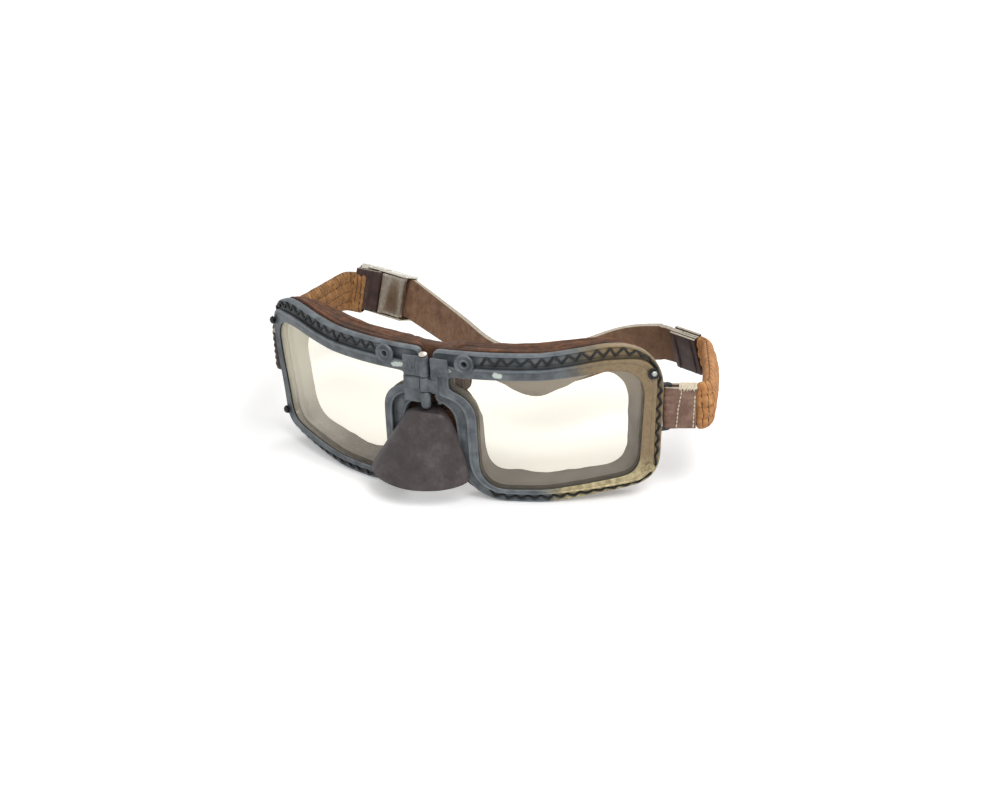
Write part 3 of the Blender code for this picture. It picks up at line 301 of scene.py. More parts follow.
def worn_outer_end(paint, spot):
    """Brass from two thirds of the way to the left frame's outer end, in patches."""
    along, up = paint.axis(spot, "X"), paint.axis(spot, "Z")
    patches = paint.grain(spot, 0.11, detail=7.0, rough=0.7)
    outer = along.stepped(36.0, 72.0)
    lower = along.stepped(28.0, 56.0) * (1.0 - up.stepped(5.0, 18.0))
    share = (outer + 0.55 * lower).clamped()
    fine = paint.grain(spot, 1.3, detail=4.0, rough=0.7)
    return (patches * 1.1 + 0.5 * fine + share - 0.80).stepped(0.22, 0.86)


def worn_specks(paint, spot):
    """A few small rubbed spots."""
    patches = paint.grain(spot, 0.35, detail=6.0, rough=0.7)
    return 0.8 * patches.stepped(0.66, 0.72)


def clear_glass():
    """Old clear glass: it passes cream light, and mirrors a little at a slant."""
    glass = Finish("lens_glass", roughness=0.04, metallic=1.0)
    glass.set("Base Color", (0.97, 0.97, 0.95))
    facing = glass.node("ShaderNodeLayerWeight", {}, {"Blend": 0.5}, output="Facing")
    slant = 0.02 + 0.35 * facing ** 5.0
    through = glass.node("ShaderNodeBsdfTransparent", {}, {"Color": (1.0, 0.987, 0.933)})
    inputs = {0: slant, 1: through, 2: Wire(glass, glass.shader.outputs[0])}
    mixed = glass.node("ShaderNodeMixShader", {}, inputs)
    glass.put(glass.tree.nodes["Material Output"].inputs["Surface"], mixed)
    return glass.material


def suede(name, dark, middle, light, folded=False):
    """Napped leather: cloudy colour, short fuzz and soft creases, with painted shade where it is
    folded in and painted highlights on the pad's raised folds.
    """
    hide = Finish(name, roughness=0.95, Sheen_Weight=0.05, Sheen_Roughness=0.6)
    spot = hide.place()
    cloud = hide.grain(spot, 0.28, detail=5.0, rough=0.65)
    fuzz = hide.grain(spot, 5.0, detail=3.0, rough=0.7)
    mixed = 0.75 * cloud + 0.25 * fuzz
    fold = hide.mark("fold")
    if folded:
        # Painted highlight: lighter where the pad's fold mark is high, on its raised folds.
        mixed = mixed + 0.13 * fold.stepped(0.0, 1.0) - 0.05
    colour = hide.shades(mixed, (0.30, dark), (0.50, middle), (0.68, light))
    # Painted shade: darker where the fold mark is below 0, in the hollows of the folds and gathers.
    deep = (fold * -1.0).stepped(0.15, 0.9)
    depth, shade = (0.55, 0.50) if folded else (0.85, 0.22)
    hide.set("Base Color", hide.blend(depth * deep, colour, tuple(c * shade for c in dark)))
    creases = hide.rough_surface(hide.grain(spot, 0.5, detail=4.0, distortion=0.6), 0.35)
    hide.set("Normal", hide.rough_surface(fuzz, 0.10, creases))
    return hide.material


def smooth_leather(name, dark, middle, light, roughness):
    """Finished leather: even colour with soft scuffs, fine pores and a low shine."""
    hide = Finish(name, roughness=roughness, Specular_Ior_Level=0.35)
    spot = hide.place()
    cloud = hide.grain(spot, 0.16, detail=6.0, rough=0.6)
    scuff = hide.grain(spot, 0.9, detail=5.0, rough=0.75)
    colour = hide.shades(0.7 * cloud + 0.3 * scuff, (0.34, dark), (0.50, middle), (0.68, light))
    hide.set("Base Color", colour)
    hide.set("Roughness", roughness - 0.10 + 0.25 * scuff)
    pores = hide.node("ShaderNodeTexVoronoi", {}, {"Vector": spot, "Scale": 2.4})
    hide.set("Normal", hide.rough_surface(pores + 0.5 * scuff, 0.03))
    return hide.material


def strap_hide():
    """The strap's rough flesh side: matt brown, mottled, with fibres along it, and painted shade
    towards +X.
    """
    hide = Finish("strap_leather", roughness=0.85, Specular_Ior_Level=0.25)
    spot = hide.place()
    cloud = hide.grain(spot, 0.22, detail=6.0, rough=0.65)
    fibre = hide.grain(hide.place((0.5, 3.0, 1.0), "UV"), 1.6, detail=4.0, rough=0.7)
    mixed = 0.6 * cloud + 0.4 * fibre
    colour = hide.shades(mixed, (0.32, tone(98, 70, 52)), (0.50, tone(140, 107, 84)),
                         (0.68, tone(170, 136, 110)))
    # Painted shade: darker towards +X, the left frame's side.
    shaded = hide.axis(spot, "X").stepped(10.0, 62.0)
    hide.set("Base Color", hide.blend(0.55 * shaded, colour, tone(84, 66, 52)))
    hide.set("Normal", hide.rough_surface(fibre, 0.12))
    return hide.material


def plain(name, colour, roughness, metallic=0.0, mottle=0.25, scale=0.8, depth=0.03):
    """One colour, mottled lighter and darker, with a fine surface."""
    made = Finish(name, roughness=roughness, metallic=metallic)
    spot = made.place()
    cloud = made.grain(spot, scale, detail=4.0)
    light = tuple(min(1.0, c * (1 + mottle)) for c in colour)
    dark = tuple(c * (1 - mottle) for c in colour)
    made.set("Base Color", made.shades(cloud, (0.3, dark), (0.7, light)))
    made.set("Normal", made.rough_surface(made.grain(spot, 4 * scale, detail=3.0), depth))
    return made.material


def lining_cloth():
    """Fine grey-mauve cloth with a small weave, with painted light on the right frame's outer part
    and the left cup's top, and painted shade at the foot.
    """
    cloth = Finish("lining_cloth", roughness=0.92, Sheen_Weight=0.15)
    spot = cloth.place()
    cloud = cloth.grain(spot, 0.12, detail=4.0)
    colour = cloth.shades(cloud, (0.30, tone(126, 120, 120)), (0.70, tone(154, 147, 147)))
    along, up = cloth.axis(spot, "X"), cloth.axis(spot, "Z")
    # Painted light: paler on the right frame's outer part, more so higher up.
    lit = (1.0 - along.stepped(-84.0, -34.0)) * up.stepped(-6.0, 30.0)
    colour = cloth.blend(lit, colour, tone(250, 248, 246))
    # Painted light: paler at the top of the left frame's cup.
    painted_top_light = along.stepped(10.0, 20.0) * up.stepped(34.0, 42.0)
    colour = cloth.blend(0.55 * painted_top_light, colour, tone(186, 176, 170))
    # Painted shade: darker at the foot, except at the right frame's outer end.
    shaded = (1.0 - up.stepped(4.0, 22.0)) * along.stepped(-60.0, -20.0)
    colour = cloth.blend(0.6 * shaded, colour, tone(84, 81, 80))
    cloth.set("Base Color", colour)
    weave = cloth.node("ShaderNodeTexWave", {"wave_type": "BANDS", "bands_direction": "DIAGONAL"},
                       {"Vector": spot, "Scale": 0.9, "Distortion": 0.4})
    cloth.set("Normal", cloth.rough_surface(weave + cloth.grain(spot, 3.0), 0.05))
    return cloth.material


# Lines and meshes

def eased(share):
    """0 below 0 and 1 above 1, on a soft curve between them."""
    share = min(max(share, 0.0), 1.0)
    return share * share * (3 - 2 * share)


def running(lengths):
    """Lengths summed up from 0."""
    return np.concatenate([[0.0], np.cumsum(lengths)])


def run_along(points):
    """How far along a line each of its points lies."""
    return running([(b - a).length for a, b in zip(points, points[1:])])


def on_spline(before, start, end, after, t):
    """The place at a share of the way from start to end, on a smooth curve through all four."""
    ease = 2 * t ** 3 - 3 * t ** 2
    return (start * (1 + ease) - end * ease
            + (end - before) * ((t ** 3 - 2 * t ** 2 + t) / 2)
            + (after - start) * ((t ** 3 - t ** 2) / 2))


def catmull(points, steps):
    """A smooth run through points."""
    ends = [points[0] * 2 - points[1]] + list(points) + [points[-1] * 2 - points[-2]]
    return [on_spline(*near, i / steps) for near in zip(ends, ends[1:], ends[2:], ends[3:])
            for i in range(steps)] + [points[-1]]


def dense_rows(rows, steps):
    """More rows between those of a closed section, on smooth curves."""
    count = len(rows)
    result = []
    for i in range(count):
        near = [rows[(i + k) % count] for k in (-1, 0, 1, 2)]
        for j in range(steps):
            result.append([on_spline(*points, j / steps) for points in zip(*near)])
    return result


def evenly(points, count):
    """That many points at even distances along a line, and its length."""
    run = run_along(points)
    at = np.linspace(0.0, run[-1], count)
    columns = [np.interp(at, run, [point[axis] for point in points]) for axis in range(3)]
    return [Vector(values) for values in zip(*columns)], run[-1]


def smoothed(points):
    """The points between the first and the last, each drawn towards both its neighbours."""
    return [(a + b * 2 + c) / 4 for a, b, c in zip(points, points[1:], points[2:])]


def in_mm(pairs):
    """Pairs that are given in millimetres, in metres."""
    return [(a * MM, b * MM) for a, b in pairs]


def draw_row(bm, points, closed=True):
    """Vertices on the points, with an edge from each to the next."""
    verts = [bm.verts.new(point) for point in points]
    pairs = list(zip(verts, verts[1:])) + ([(verts[-1], verts[0])] if closed else [])
    return verts, [bm.edges.new(pair) for pair in pairs]


def next_row(bm, row, points):
    """Extrude a row of edges and set the new vertices on the next points."""
    verts, edges = row
    made = bmesh.ops.extrude_edge_only(bm, edges=edges)["geom"]
    fresh = {part for part in made if isinstance(part, bmesh.types.BMVert)}
    new_verts = []
    for vert, point in zip(verts, points):
        new = next(edge.other_vert(vert) for edge in vert.link_edges
                   if edge.other_vert(vert) in fresh)
        new.co = point
        new_verts.append(new)
    pairs = zip(new_verts, new_verts[1:] + new_verts[:1])
    return new_verts, [edge for edge in (bm.edges.get(pair) for pair in pairs) if edge]


def sweep(bm, rows, closed=True, ring=False, caps=False, marks=None):
    """A surface through rows of points. ring joins the last row to the first.

    marks is the name of a vertex attribute and its rows of values.
    """
    layer = bm.verts.layers.float.new(marks[0]) if marks else None
    first = row = draw_row(bm, rows[0], closed)
    made = [first[0]]
    for points in rows[1:]:
        row = next_row(bm, row, points)
        made.append(row[0])
    if ring:
        row = next_row(bm, row, rows[0])
        bmesh.ops.weld_verts(bm, targetmap=dict(zip(row[0], first[0])))
    if caps:
        bmesh.ops.edgeloop_fill(bm, edges=first[1])
        bmesh.ops.edgeloop_fill(bm, edges=row[1])
    if marks:
        for verts, values in zip(made, marks[1]):
            for vert, value in zip(verts, values):
                vert[layer] = value


def piece_from(bm, name, body, finishes, smooth=35, bevel=0.0, wall=0.0, rim=0, slot=None):
    """A bmesh as a finished piece that rides on a body, moved from the hinge to its place."""
    bmesh.ops.recalc_face_normals(bm, faces=bm.faces)
    bmesh.ops.translate(bm, verts=bm.verts, vec=HINGE)
    mesh = bpy.data.meshes.new(name)
    bm.to_mesh(mesh)
    bm.free()
    mesh.shade_smooth()
    mesh.set_sharp_from_angle(angle=math.radians(smooth))
    piece = bpy.data.objects.new(name, mesh)
    bpy.context.scene.collection.objects.link(piece)
    for finish in finishes if isinstance(finishes, (list, tuple)) else [finishes]:
        mesh.materials.append(finish)
    if wall:
        leather = piece.modifiers.new("wall", "SOLIDIFY")
        leather.thickness = wall
        leather.offset = 0.0
        leather.material_offset_rim = rim
    if bevel:
        edge = piece.modifiers.new("edge", "BEVEL")
        edge.width = bevel
        edge.segments = 2
        edge.limit_method = "ANGLE"
        edge.angle_limit = math.radians(smooth)
        edge.harden_normals = False
    if body:
        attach(piece, body)
    return piece


# The bent face, as in the model's source

FRAME_WIDTH, FRAME_HEIGHT = 88.0 * MM, 62.5 * MM
FACE_RADIUS, FACE_EASE, FACE_SPLAY = 95.5 * MM, 0.244, math.radians(-3)


def face_table():
    """Points along the face curve: their run, how far across and back they lie, and heading."""
    run = np.linspace(0.0, 1.4 * FRAME_WIDTH, 561)
    heading = FACE_SPLAY + run / FACE_RADIUS * (1 - FACE_EASE * run / FRAME_WIDTH)
    step = run[1] - run[0]
    mid = (heading[1:] + heading[:-1]) / 2
    return run, running(np.cos(mid) * step), running(np.sin(mid) * step), heading


FACE_RUN, FACE_ACROSS, FACE_BACK, FACE_HEADING = face_table()


def on_face(along, up, proud, side):
    """A point given along the face, up from the table and proud of the flange's front."""
    across = np.interp(along, FACE_RUN, FACE_ACROSS) + min(along, 0.0) * math.cos(FACE_SPLAY)
    back = np.interp(along, FACE_RUN, FACE_BACK) + min(along, 0.0) * math.sin(FACE_SPLAY)
    heading = np.interp(along, FACE_RUN, FACE_HEADING)
    return Vector((side * (across + proud * math.sin(heading)),
                   back - proud * math.cos(heading), up))


def worn_out_of_true(along, up, side):
    """The right frame's outer end is bent: its foot leans in a little, and its top out."""
    if side > 0:
        return along
    lean = 1.9 * math.tanh((up - 29.0 * MM) / (11.0 * MM)) - 0.9
    crushed = 2.0 * eased((along - 60.0 * MM) / (20.0 * MM)) * eased(
        (88.5 * MM - along) / (8.0 * MM))
    return along + (lean * eased((along - 40.0 * MM) / (44.0 * MM)) + crushed) * MM


def bezel_place(shares, side):
    """A place on the bezel's front: X along it, Y up and Z straight out of it."""
    up = shares[1] * FRAME_HEIGHT
    along = worn_out_of_true(shares[0] * FRAME_WIDTH, up, side)
    heading = np.interp(along, FACE_RUN, FACE_HEADING)
    out = Vector((side * math.sin(heading), -math.cos(heading), 0.0))
    ahead = Vector((math.cos(heading), side * math.sin(heading), 0.0))
    turn = Matrix((ahead, UP, out)).transposed().to_4x4()
    return Matrix.Translation(on_face(along, up, BEZEL_FRONT, side)) @ turn


def bend(bm, side, verts=None):
    """Lay what is drawn flat onto the face curve."""
    for vert in verts or bm.verts:
        along, up, proud = vert.co
        vert.co = on_face(worn_out_of_true(along, up, side), up, proud, side)


# Outlines as shares of the frame's width and height, each with a corner radius as a share
OUTER_SHARES = (
    (0.027, 0.945, 0.024), (0.50, 0.953, 0.0), (0.75, 0.998, 0.0),
    (1.010, 0.985, 0.265), (0.982, 0.098, 0.170), (0.50, 0.0, 0.0),
    (0.132, 0.0, 0.260), (0.116, 0.614, 0.115), (0.027, 0.614, 0.024),
)
BEZEL_SHARES = (
    (0.052, 0.866, 0.024), (0.50, 0.872, 0.0), (0.75, 0.918, 0.0),
    (0.972, 0.902, 0.140), (0.947, 0.122, 0.120), (0.50, 0.064, 0.0),
    (0.177, 0.060, 0.200), (0.171, 0.640, 0.130), (0.052, 0.670, 0.024),
)
OPENING_SHARES = (
    (0.101, 0.794, 0.020), (0.50, 0.800, 0.0), (0.75, 0.840, 0.0),
    (0.922, 0.832, 0.150), (0.890, 0.165, 0.110), (0.50, 0.090, 0.0),
    (0.218, 0.084, 0.140), (0.214, 0.650, 0.160), (0.101, 0.714, 0.020),
)
PAD_BACK_SHARES = (
    (0.100, 0.940, 0.045), (0.50, 0.950, 0.0), (0.75, 0.985, 0.0),
    (0.975, 0.945, 0.220), (0.925, 0.050, 0.150), (0.50, 0.0, 0.0),
    (0.165, 0.0, 0.250), (0.165, 0.640, 0.115), (0.100, 0.660, 0.040),
)
CUP_BACK_SHARES = (
    (0.165, 0.735, 0.045), (0.47, 0.580, 0.0), (0.735, 0.765, 0.0),
    (0.874, 0.775, 0.120), (0.866, 0.170, 0.120), (0.50, 0.090, 0.0),
    (0.255, 0.130, 0.150), (0.252, 0.560, 0.150), (0.165, 0.650, 0.030),
)


def with_corners(shares, **changed):
    """The same outline with some of its corners elsewhere, named like c3."""
    return tuple(changed.get(f"c{i}", corner) for i, corner in enumerate(shares))


# How many steps each corner of an outline has, and the edge that follows it
CORNER_STEPS = (4, 0, 0, 10, 10, 0, 12, 12, 4)
EDGE_STEPS = (26, 14, 12, 32, 24, 18, 16, 6, 10)


def fillet(before, corner, after, radius, steps):
    """A corner rounded by an arc."""
    if not steps:
        return [corner]
    to_before = (before - corner).normalized()
    to_after = (after - corner).normalized()
    half = to_before.angle(to_after) / 2
    centre = corner + (to_before + to_after).normalized() * (radius / math.sin(half))
    start = corner + to_before * (radius / math.tan(half)) - centre
    end = corner + to_after * (radius / math.tan(half)) - centre
    sweep_angle = start.angle(end)
    points = []
    for i in range(steps + 1):
        first = math.sin((1 - i / steps) * sweep_angle) / math.sin(sweep_angle)
        second = math.sin(i / steps * sweep_angle) / math.sin(sweep_angle)
        points.append(centre + start * first + end * second)
    return points


def eased_outline(shares, passes=6):
    """An outline with its straight runs eased into each other."""
    corners = [Vector((a * FRAME_WIDTH, b * FRAME_HEIGHT)) for a, b, _ in shares]
    count = len(corners)
    arcs = []
    for i, corner in enumerate(corners):
        after = corners[(i + 1) % count]
        arcs.append(fillet(corners[i - 1], corner, after, shares[i][2] * FRAME_HEIGHT,
                           CORNER_STEPS[i]))
    points = []
    for i, arc in enumerate(arcs):
        start, end = arc[-1], arcs[(i + 1) % count][0]
        points.extend(arc)
        points.extend(start.lerp(end, k / EDGE_STEPS[i]) for k in range(1, EDGE_STEPS[i]))
    for _ in range(passes):
        points = smoothed([points[-1]] + points + [points[0]])
    return points


def grown(points, reach):
    """An outline moved outward by a distance, or inward by a negative one."""
    count = len(points)
    moved = []
    for i, point in enumerate(points):
        before = (point - points[i - 1]).normalized()
        after = (points[(i + 1) % count] - point).normalized()
        side = Vector((-(before + after).y, (before + after).x)).normalized()
        slant = max(side.dot(Vector((-after.y, after.x))), 0.5)
        moved.append(point + side * (reach / slant))
    return moved


def between(first, second, share):
    """An outline at a share of the way from one to another."""
    return [a.lerp(b, share) for a, b in zip(first, second)]


def at_depth(points, proud):
    """A flat outline, so far proud of the flange's front."""
    return [(point.x, point.y, proud) for point in points]


OUTER = eased_outline(OUTER_SHARES)
BEZEL = eased_outline(BEZEL_SHARES)
OPENINGS = {
    "left": eased_outline(OPENING_SHARES),
    "right": eased_outline(with_corners(OPENING_SHARES, c3=(0.933, 0.836, 0.150),
                                        c4=(0.901, 0.158, 0.110))),
}
PAD_BACK = eased_outline(PAD_BACK_SHARES)
CUP_BACKS = {
    "left": eased_outline(CUP_BACK_SHARES, passes=30),
    "right": eased_outline(with_corners(CUP_BACK_SHARES, c1=(0.45, 0.675, 0.0)), passes=45),
}

GAP = 0.3 * MM
SHEET = 0.9 * MM
LIP_DEPTH = 2.9 * MM
LENS_THICKNESS = 2.4 * MM
LENS_LAP = 1.5 * MM
BEZEL_HEIGHT = 1.5 * MM
PAD_DEPTH = 8.6 * MM
LINING = 0.8 * MM
LEDGE_FRONT = -LENS_THICKNESS - GAP
LEDGE_BACK = LEDGE_FRONT - SHEET
BEZEL_FRONT = GAP + BEZEL_HEIGHT
PAD_FRONT = LEDGE_BACK - GAP
PAD_REAR = PAD_FRONT - PAD_DEPTH


def ring(side_name, rows, name, body, finish, painted_lights=(), dark=(), **options):
    """A closed ring through rows of (outline, how proud it lies), or of flat points.

    The values after the finish give each row its painted light, from -1, painted shade in a groove,
    to 1, a painted highlight on a ridge. dark names the rows whose faces take the second finish.
    """
    bm = bmesh.new()
    flat = [row if len(row) > 2 else at_depth(*row) for row in rows]
    count = len(flat[0])
    sweep(bm, flat, ring=True, marks=("rub", [[rub] * count for rub in painted_lights]))
    for i, face in enumerate(bm.faces):
        face.material_index = 1 if i // count in dark else 0
    bend(bm, SIDES[side_name])
    return piece_from(bm, f"{name}_{side_name}", body, finish, **options)


def eye_frame(side_name, body, finish):
    """The pressed flange with a rolled rim, its turned-back lip and the seat of the lens.

    The section's rows are an outline, how far it is grown, how proud it lies, and its painted light.
    """
    opening, seat = OPENINGS[side_name], grown(OPENINGS[side_name], LENS_LAP + GAP)
    middle = between(grown(BEZEL, 0.5 * MM), OUTER, 0.5)
    front, back, lip = LEDGE_FRONT / MM, LEDGE_BACK / MM, -LIP_DEPTH / MM
    # The last value of each row is its painted light: painted shade below 0, a painted highlight
    # above 0.
    section = (
        (opening, 0, back, 0), (opening, 0, front, 0), (seat, 0, front, 0), (seat, 0, 0, 0),
        (BEZEL, -0.3, 0, -1), (BEZEL, 0.15, -0.30, -0.8), (BEZEL, 0.5, -0.42, -0.3),
        (BEZEL, 0.95, -0.18, 0.1), (middle, 0, -0.20, 0.2), (OUTER, -1.25, -0.22, -0.2),
        (OUTER, -0.95, 0.06, 0.3), (OUTER, -0.55, 0.22, 0.8), (OUTER, -0.18, 0.06, 0.5),
        (OUTER, 0, -0.35, 0), (OUTER, 0, -2.3, -0.2), (OUTER, -0.12, -2.7, -0.5),
        (OUTER, -0.4, lip, -0.8), (OUTER, -0.9, lip, 0), (OUTER, -0.9, -1.3, 0),
        (seat, 0.8, -1.3, 0), (seat, 0.8, back, 0),
    )
    rows = [(grown(points, reach * MM), proud * MM) for points, reach, proud, _ in section]
    made = ring(side_name, rows, "frame_flange", body, [finish, LINING_CLOTH],
                [rub for *_, rub in section], (0, 1, 2), slot="painted_brass")
    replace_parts(made, f"eye_frame_{side_name}")


def bezel(side_name, body, finish):
    """The raised ring that holds the lens down: a sloped face and a bead along its outer edge."""
    # Rows: share of the way from the opening to the bezel's edge, how proud, and painted light
    # (shade below 0, highlight above 0).
    section = (
        (0.0, 0.10, -1), (0.0, 0.62, -1), (0.015, 0.80, 0), (0.05, 0.92, 0.8),
        (0.14, 1.02, 0.2), (0.34, 1.14, 0), (0.56, 1.28, 0), (0.66, 1.24, -0.4),
        (0.74, 1.40, 0.2), (0.84, 1.62, 0.6), (0.92, 1.64, 0.7), (0.97, 1.52, 0.2),
        (1.0, 1.20, -0.5), (1.0, 0.5, -1), (0.98, 0.30, -1),
    )
    rows = [(between(OPENINGS[side_name], BEZEL, share), proud * MM) for share, proud, _ in section]
    # The bezel's inner wall row takes the near-black lens_seat_shadow finish: painted shade.
    made = ring(side_name, rows, "lens_bezel", body, [finish, LENS_SHADOW],
                [rub for *_, rub in section], (0,), slot="painted_brass")
    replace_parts(made, f"bezel_{side_name}")


def lens(side_name, body, finish):
    """The bent glass, cut into narrow strips so that it bends smoothly."""
    edge = grown(OPENINGS[side_name], LENS_LAP)
    bm = bmesh.new()
    bmesh.ops.contextual_create(bm, geom=draw_row(bm, at_depth(edge, 0.0))[0])
    strips = 60
    for i in range(1, strips):
        whole = bm.verts[:] + bm.edges[:] + bm.faces[:]
        bmesh.ops.bisect_plane(bm, geom=whole, dist=0.002 * MM, plane_no=(1, 0, 0),
                               plane_co=(i * FRAME_WIDTH / strips, 0.0, 0.0))
    grown_back = bmesh.ops.extrude_face_region(bm, geom=bm.faces[:])["geom"]
    back = [part for part in grown_back if isinstance(part, bmesh.types.BMVert)]
    bmesh.ops.translate(bm, verts=back, vec=(0.0, 0.0, -LENS_THICKNESS))
    bend(bm, SIDES[side_name])
    made = piece_from(bm, f"lens_pane_{side_name}", body, finish, smooth=20, slot="lens_glass")
    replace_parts(made, f"lens_{side_name}")


def soft_noise(spot, scale, seed):
    """Smooth noise, about -1 to 1, for a place in millimetres."""
    return noise.noise(Vector(spot) / MM * scale + Vector((seed, seed * 1.7, -seed)))


def noseward(point):
    """1 beside the nose and 0 on the rest of an eye piece."""
    along, up = point[0] / MM, point[1] / MM
    beside = 1 - eased((along - 19.0) / 14.0)
    above_foot, below_bridge = eased((up + 2.0) / 10.0), 1 - eased((up - 44.0) / 7.0)
    return beside * above_foot * below_bridge


def shallow(point):
    """How much less deep an eye piece is beside the nose and at its outer end."""
    return 0.50 * noseward(point) + 0.46 * eased((point[0] / MM - 48.0) / 34.0)


def settled(point, proud):
    """How proud a point behind the frame lies once the eye piece is made less deep there."""
    if proud > PAD_FRONT:
        return proud
    return PAD_FRONT + (proud - PAD_FRONT) * (1 - shallow(point))


def grown_noseward(points, reach):
    """An outline moved outward by a distance beside the nose only."""
    return [point.lerp(moved, noseward(point))
            for point, moved in zip(points, grown(points, reach))]


def swollen(points, reach, more):
    """An outline moved towards the nose, and further under the bridge."""
    return [point.lerp(moved, noseward(point) * eased((point.y / MM - 16.0) / 14.0))
            for point, moved in zip(grown_noseward(points, reach),
                                    grown(grown_noseward(points, reach), more))]


def face_pad(side_name, body, finish):
    """The stuffed suede roll: full behind the frame, in long folds, swollen beside the nose.

    Its folds fade out under the lining and the frame, where the rows aren't free.
    """
    hem = grown(OPENINGS[side_name], LINING + 2 * GAP)
    cup = grown(grown_noseward(CUP_BACKS[side_name], 3.9 * MM), LINING + GAP)
    middle = (PAD_FRONT + PAD_REAR) / 2
    crown = PAD_DEPTH * 0.16
    swell = swollen(between(OUTER, PAD_BACK, 0.6), 3.4 * MM, 2.2 * MM)
    front = swollen(grown(OUTER, -GAP), 3.8 * MM, 1.8 * MM)
    section = [
        (hem, PAD_FRONT), (between(hem, cup, 0.45), middle),
        (between(hem, cup, 0.80), PAD_REAR + crown), (cup, PAD_REAR + 0.15 * crown),
        (grown(cup, crown), PAD_REAR), (between(cup, PAD_BACK, 0.5), PAD_REAR - 0.3 * MM),
        (grown(PAD_BACK, -crown), PAD_REAR),
        (grown(PAD_BACK, -0.35 * crown), PAD_REAR + 0.3 * crown), (PAD_BACK, PAD_REAR + crown),
        (between(swell, PAD_BACK, 0.5), middle - 1.6 * crown), (swell, middle - 0.6 * crown),
        (between(swell, front, 0.6), middle + crown), (front, PAD_FRONT - 0.4 * MM),
        (grown(front, -0.9 * MM), PAD_FRONT), (grown(OUTER, -2.4 * MM), PAD_FRONT),
    ]
    rows = dense_rows([[Vector((p.x, p.y, settled(p, proud))) for p in points]
                       for points, proud in section], 4)
    middles = [sum(column, Vector()) / len(rows) for column in zip(*rows)]
    seed = 3.0 if side_name == "left" else 8.0
    swirl = 2.3 * MM
    depths = []
    free = (16, 52)
    for i, row in enumerate(rows):
        held = min(1.0, max(0.0, i - free[0]) / 6, max(0.0, free[1] - i) / 6)
        depths.append([])
        for k, point in enumerate(row):
            turn = math.tau * k / len(row)
            fold = soft_noise((swirl * math.cos(turn), swirl * math.sin(turn), i * 0.5 * MM),
                              1.0, seed)
            lump = soft_noise(point, 0.14, seed + 4)
            out = (point - middles[k]).normalized()
            row[k] = point + out * held * (0.60 * fold + 0.38 * lump) * MM
            # These fold values give the suede its painted shade in the hollows and painted
            # highlights on the raised folds.
            depths[-1].append(2.2 * fold + 0.10)
    bm = bmesh.new()
    sweep(bm, rows, ring=True, marks=("fold", depths))
    bend(bm, SIDES[side_name])
    made = piece_from(bm, f"suede_pad_{side_name}", body, finish, smooth=180, slot="brown_suede")
    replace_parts(made, f"face_pad_{side_name}")


def eyecup_lining(side_name, body, finish):
    """The cloth inside the cup, from the lens to its free edge, in soft waves."""
    steps = 10
    front_in = grown(OPENINGS[side_name], -0.15 * MM)
    front_out = grown(OPENINGS[side_name], LINING + GAP)
    rear_in = grown_noseward(CUP_BACKS[side_name], 3.9 * MM)
    rear_out = grown(rear_in, LINING)
    over = grown(OPENINGS[side_name], -0.05 * MM)
    lens_back = -LENS_THICKNESS - 0.2 * MM

    def deeper(front, rear):
        return [(between(front, rear, i / steps), PAD_FRONT + (PAD_REAR - PAD_FRONT) * i / steps)
                for i in range(steps + 1)]

    inside = [(front_in, lens_back)] + deeper(front_in, rear_in)
    outside = [(over, lens_back), (over, PAD_FRONT + 0.1 * MM)] + deeper(front_out, rear_out)
    rows = []
    for points, proud in inside + outside[::-1]:
        deep = min(max((PAD_FRONT - proud) / PAD_DEPTH, 0.0), 1.0)
        wave = 0.3 * MM * deep
        row = []
        for p in points:
            spot = (p.x, p.y, 0.0)
            row.append((p.x + wave * soft_noise(spot, 0.22, 5.0),
                        p.y + wave * soft_noise(spot, 0.22, 11.0), settled(p, proud)))
        rows.append(row)
    made = ring(side_name, rows, "cup_lining", body, finish, smooth=60, slot="lining_cloth")
    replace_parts(made, f"eyecup_lining_{side_name}")


def cord_through(points, radius, name, body, finish, slot, sides=2):
    """A round cord through points, as a mesh."""
    data = bpy.data.curves.new(name, "CURVE")
    data.dimensions = "3D"
    data.bevel_depth = radius
    data.bevel_resolution = sides
    data.use_fill_caps = True
    spline = data.splines.new("POLY")
    spline.points.add(len(points) - 1)
    for control, point in zip(spline.points, points):
        control.co = (*point, 1.0)
    curve = bpy.data.objects.new(name, data)
    bpy.context.scene.collection.objects.link(curve)
    bpy.context.view_layer.update()
    mesh = bpy.data.meshes.new_from_object(curve)
    bpy.data.objects.remove(curve)
    bm = bmesh.new()
    bm.from_mesh(mesh)
    bpy.data.meshes.remove(mesh)
    return piece_from(bm, name, body, finish, smooth=60, slot=slot)


def on_line(points, run, at):
    """The place at a run along a flat line."""
    return Vector((np.interp(at, run, [point.x for point in points]),
                   np.interp(at, run, [point.y for point in points])))


LACE_RADIUS, LACE_PITCH = 0.43 * MM, 4.9 * MM


